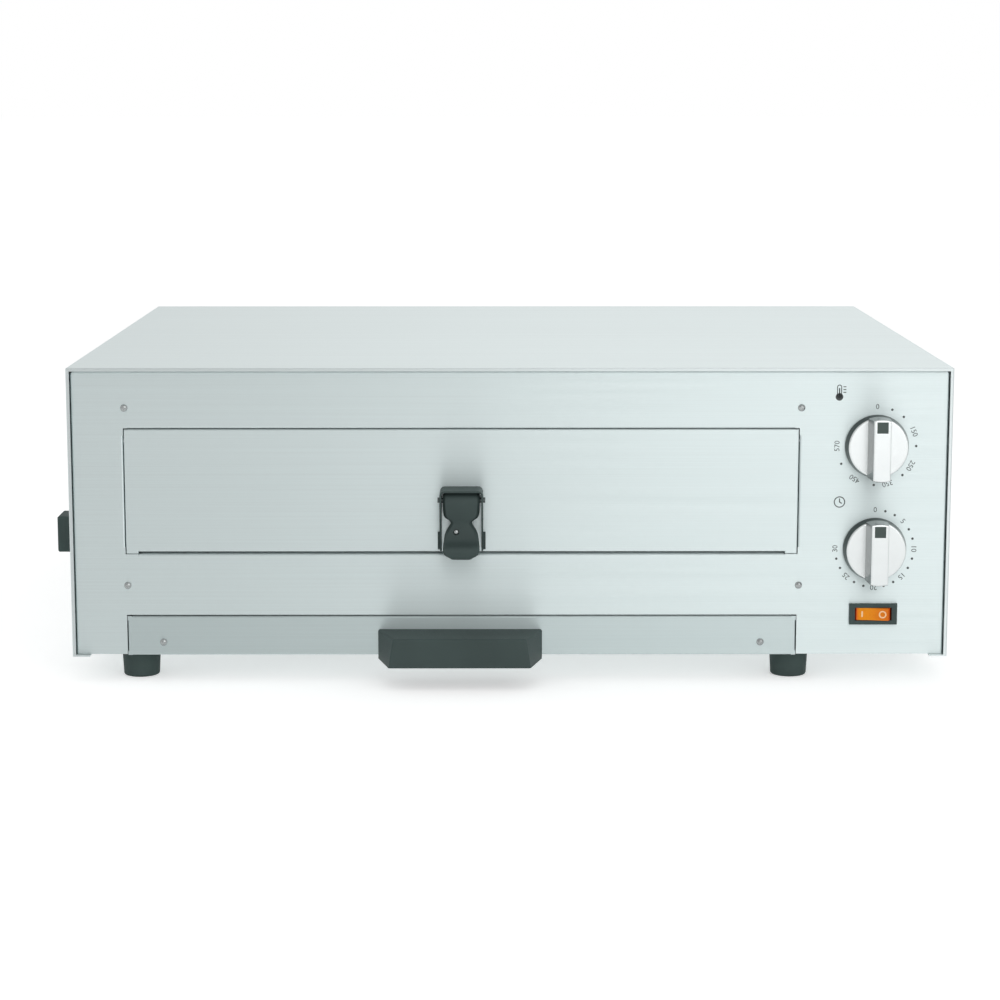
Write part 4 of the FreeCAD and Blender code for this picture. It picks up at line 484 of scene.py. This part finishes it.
# Clock sign: a ring with two hands
time_sign = bmesh.new()
sign_place = on_panel(knob_x - 24.5 * MM, time_z + 32.3 * MM)
HAND_WIDTH = 0.7 * MM
add_plate(time_sign, ring(3.9 * MM), sign_place, ring(3.2 * MM))
add_plate(time_sign, pill(2.9 * MM, HAND_WIDTH, (0.0, 1.1 * MM)), sign_place)
four_o_clock = Matrix.Rotation(-2 * math.pi / 3, 4, "Z")
add_plate(time_sign, pill(2.3 * MM, HAND_WIDTH, (0.0, 0.8 * MM)), sign_place @ four_o_clock)
finish_piece(time_sign, "timer_sign", ink, "oven")

rocker_tree = BVHTree.FromObject(nodes["switch_rocker"], bpy.context.evaluated_depsgraph_get())


def on_rocker(x, z):
    """Places XY work flat on the rocker's face."""
    spot, normal, _, _ = rocker_tree.ray_cast(Vector((x, rocker_low.y - 0.01, z)), Vector((0, 1, 0)))
    across = Vector((0, 0, 1)).cross(normal).normalized()
    up = normal.cross(across)
    place = Matrix((across, up, normal)).transposed().to_4x4()
    place.translation = spot + normal * INK / 2
    return place


# Line and ring of the rocker
line_place = on_rocker(rocker_mid.x - 7.6 * MM, rocker_mid.z)
ring_place = on_rocker(rocker_mid.x + 6.2 * MM, rocker_mid.z)
rocker_signs = bmesh.new()
add_plate(rocker_signs, pill(4.2 * MM, 1.1 * MM), line_place)
add_plate(rocker_signs, ring(2.6 * MM), ring_place, ring(1.7 * MM))
finish_piece(rocker_signs, "rocker_signs", pale_ink, "power_rocker")


# Studio

SEEN = ("Is Camera Ray", "Is Glossy Ray", "Is Transmission Ray")
DAYLIGHT = 0.72
OVERHEAD = 0.85
FRONT_ROOM = 0.55
PAPER = (0.8, 0.8, 0.8, 1.0)
PAPER_GLOW = 0.43
WHITE = (1.0, 1.0, 1.0, 1.0)


def math_node(tree, operation, first, second):
    made = tree.nodes.new("ShaderNodeMath")
    made.operation = operation
    tree.links.new(first, made.inputs[0])
    tree.links.new(second, made.inputs[1])
    return made.outputs[0]


def map_node(tree, value, start, end, low, high):
    """Maps a value from start..end to low..high."""
    made = tree.nodes.new("ShaderNodeMapRange")
    made.inputs["From Min"].default_value = start
    made.inputs["From Max"].default_value = end
    made.inputs["To Min"].default_value = low
    made.inputs["To Max"].default_value = high
    tree.links.new(value, made.inputs["Value"])
    return made


def rays(tree, *names):
    """1 for the rays of these kinds, and 0 for the rest."""
    path = tree.nodes.new("ShaderNodeLightPath")
    total = path.outputs[names[0]]
    for name in names[1:]:
        total = math_node(tree, "MAXIMUM", total, path.outputs[name])
    return total


# The world lights the object at DAYLIGHT. Reflections see it white, dimmer overhead and towards
# the room in front of the oven, and the camera sees plain white.
world = bpy.data.worlds.new("studio")
scene.world = world
world.use_nodes = True
sky = world.node_tree
back = sky.nodes["Background"]
back.inputs["Color"].default_value = WHITE
way = sky.nodes.new("ShaderNodeTexCoord")
toward = sky.nodes.new("ShaderNodeSeparateXYZ")
sky.links.new(way.outputs["Generated"], toward.inputs[0])
overhead = map_node(sky, toward.outputs[2], 0.25, 0.9, 1.0, OVERHEAD)
front = map_node(sky, toward.outputs[1], -0.8, -0.2, FRONT_ROOM, 1.0)
room = math_node(sky, "MULTIPLY", front.outputs[0], overhead.outputs[0])
level = map_node(sky, rays(sky, *SEEN), 0.0, 1.0, DAYLIGHT, 1.0)
sky.links.new(room, level.inputs["To Max"])
strength = math_node(sky, "MAXIMUM", level.outputs[0], rays(sky, "Is Camera Ray"))
sky.links.new(strength, back.inputs["Strength"])

FLOOR_HALF = 30.0
floor_mesh = bpy.data.meshes.new("floor")
floor_form = bmesh.new()
bmesh.ops.create_grid(floor_form, x_segments=1, y_segments=1, size=FLOOR_HALF)
floor_form.to_mesh(floor_mesh)
floor_form.free()
floor = bpy.data.objects.new("floor", floor_mesh)
scene.collection.objects.link(floor)
paper = bpy.data.materials.new("studio_paper")
paper.use_nodes = True
paper_tree = paper.node_tree
paper_shader = paper_tree.nodes["Principled BSDF"]
paper_shader.inputs["Base Color"].default_value = PAPER
paper_shader.inputs["Roughness"].default_value = 1.0
paper_shader.inputs["Specular IOR Level"].default_value = 0.0
paper_shader.inputs["Emission Color"].default_value = WHITE
glow = map_node(paper_tree, rays(paper_tree, *SEEN), 0.0, 1.0, 0.0, PAPER_GLOW)
paper_tree.links.new(glow.outputs[0], paper_shader.inputs["Emission Strength"])
floor_mesh.materials.append(paper)


def softbox(name, place, aim, width, height, radiance):
    """A rectangular lamp at this place, turned to its aim."""
    lamp = bpy.data.lights.new(name, "AREA")
    lamp.shape = "RECTANGLE"
    lamp.size = width
    lamp.size_y = height
    lamp.energy = radiance * math.pi * width * height
    made = bpy.data.objects.new(name, lamp)
    made.location = place
    made.rotation_euler = (Vector(aim) - Vector(place)).to_track_quat("-Z", "Y").to_euler()
    scene.collection.objects.link(made)


FRONT_AIM = (0.0, -0.2, 0.4)
softbox("key_light", (1.05, -3.2, 1.1), FRONT_AIM, 2.2, 2.2, 1.65)
softbox("fill_light", (-1.9, -2.6, 1.5), FRONT_AIM, 1.6, 1.6, 0.3)
softbox("top_light", (0.2, 0.3, 2.6), (0.0, 0.0, 0.1), 2.0, 2.0, 0.3)

# The camera that was fitted to the casing's corners in the photograph
LOOK_DOWN = 0.1593
LOOK_RIGHT = 0.0027
camera_data = bpy.data.cameras.new("photo_camera")
camera_data.sensor_width = 36.0
camera_data.lens = 93.32
camera_data.clip_start = 0.05
camera = bpy.data.objects.new("photo_camera", camera_data)
camera.location = (-0.00381, -1.9757, 0.4058)
camera.rotation_euler = (math.pi / 2 - LOOK_DOWN, 0.0, -LOOK_RIGHT)
scene.collection.objects.link(camera)
scene.camera = camera
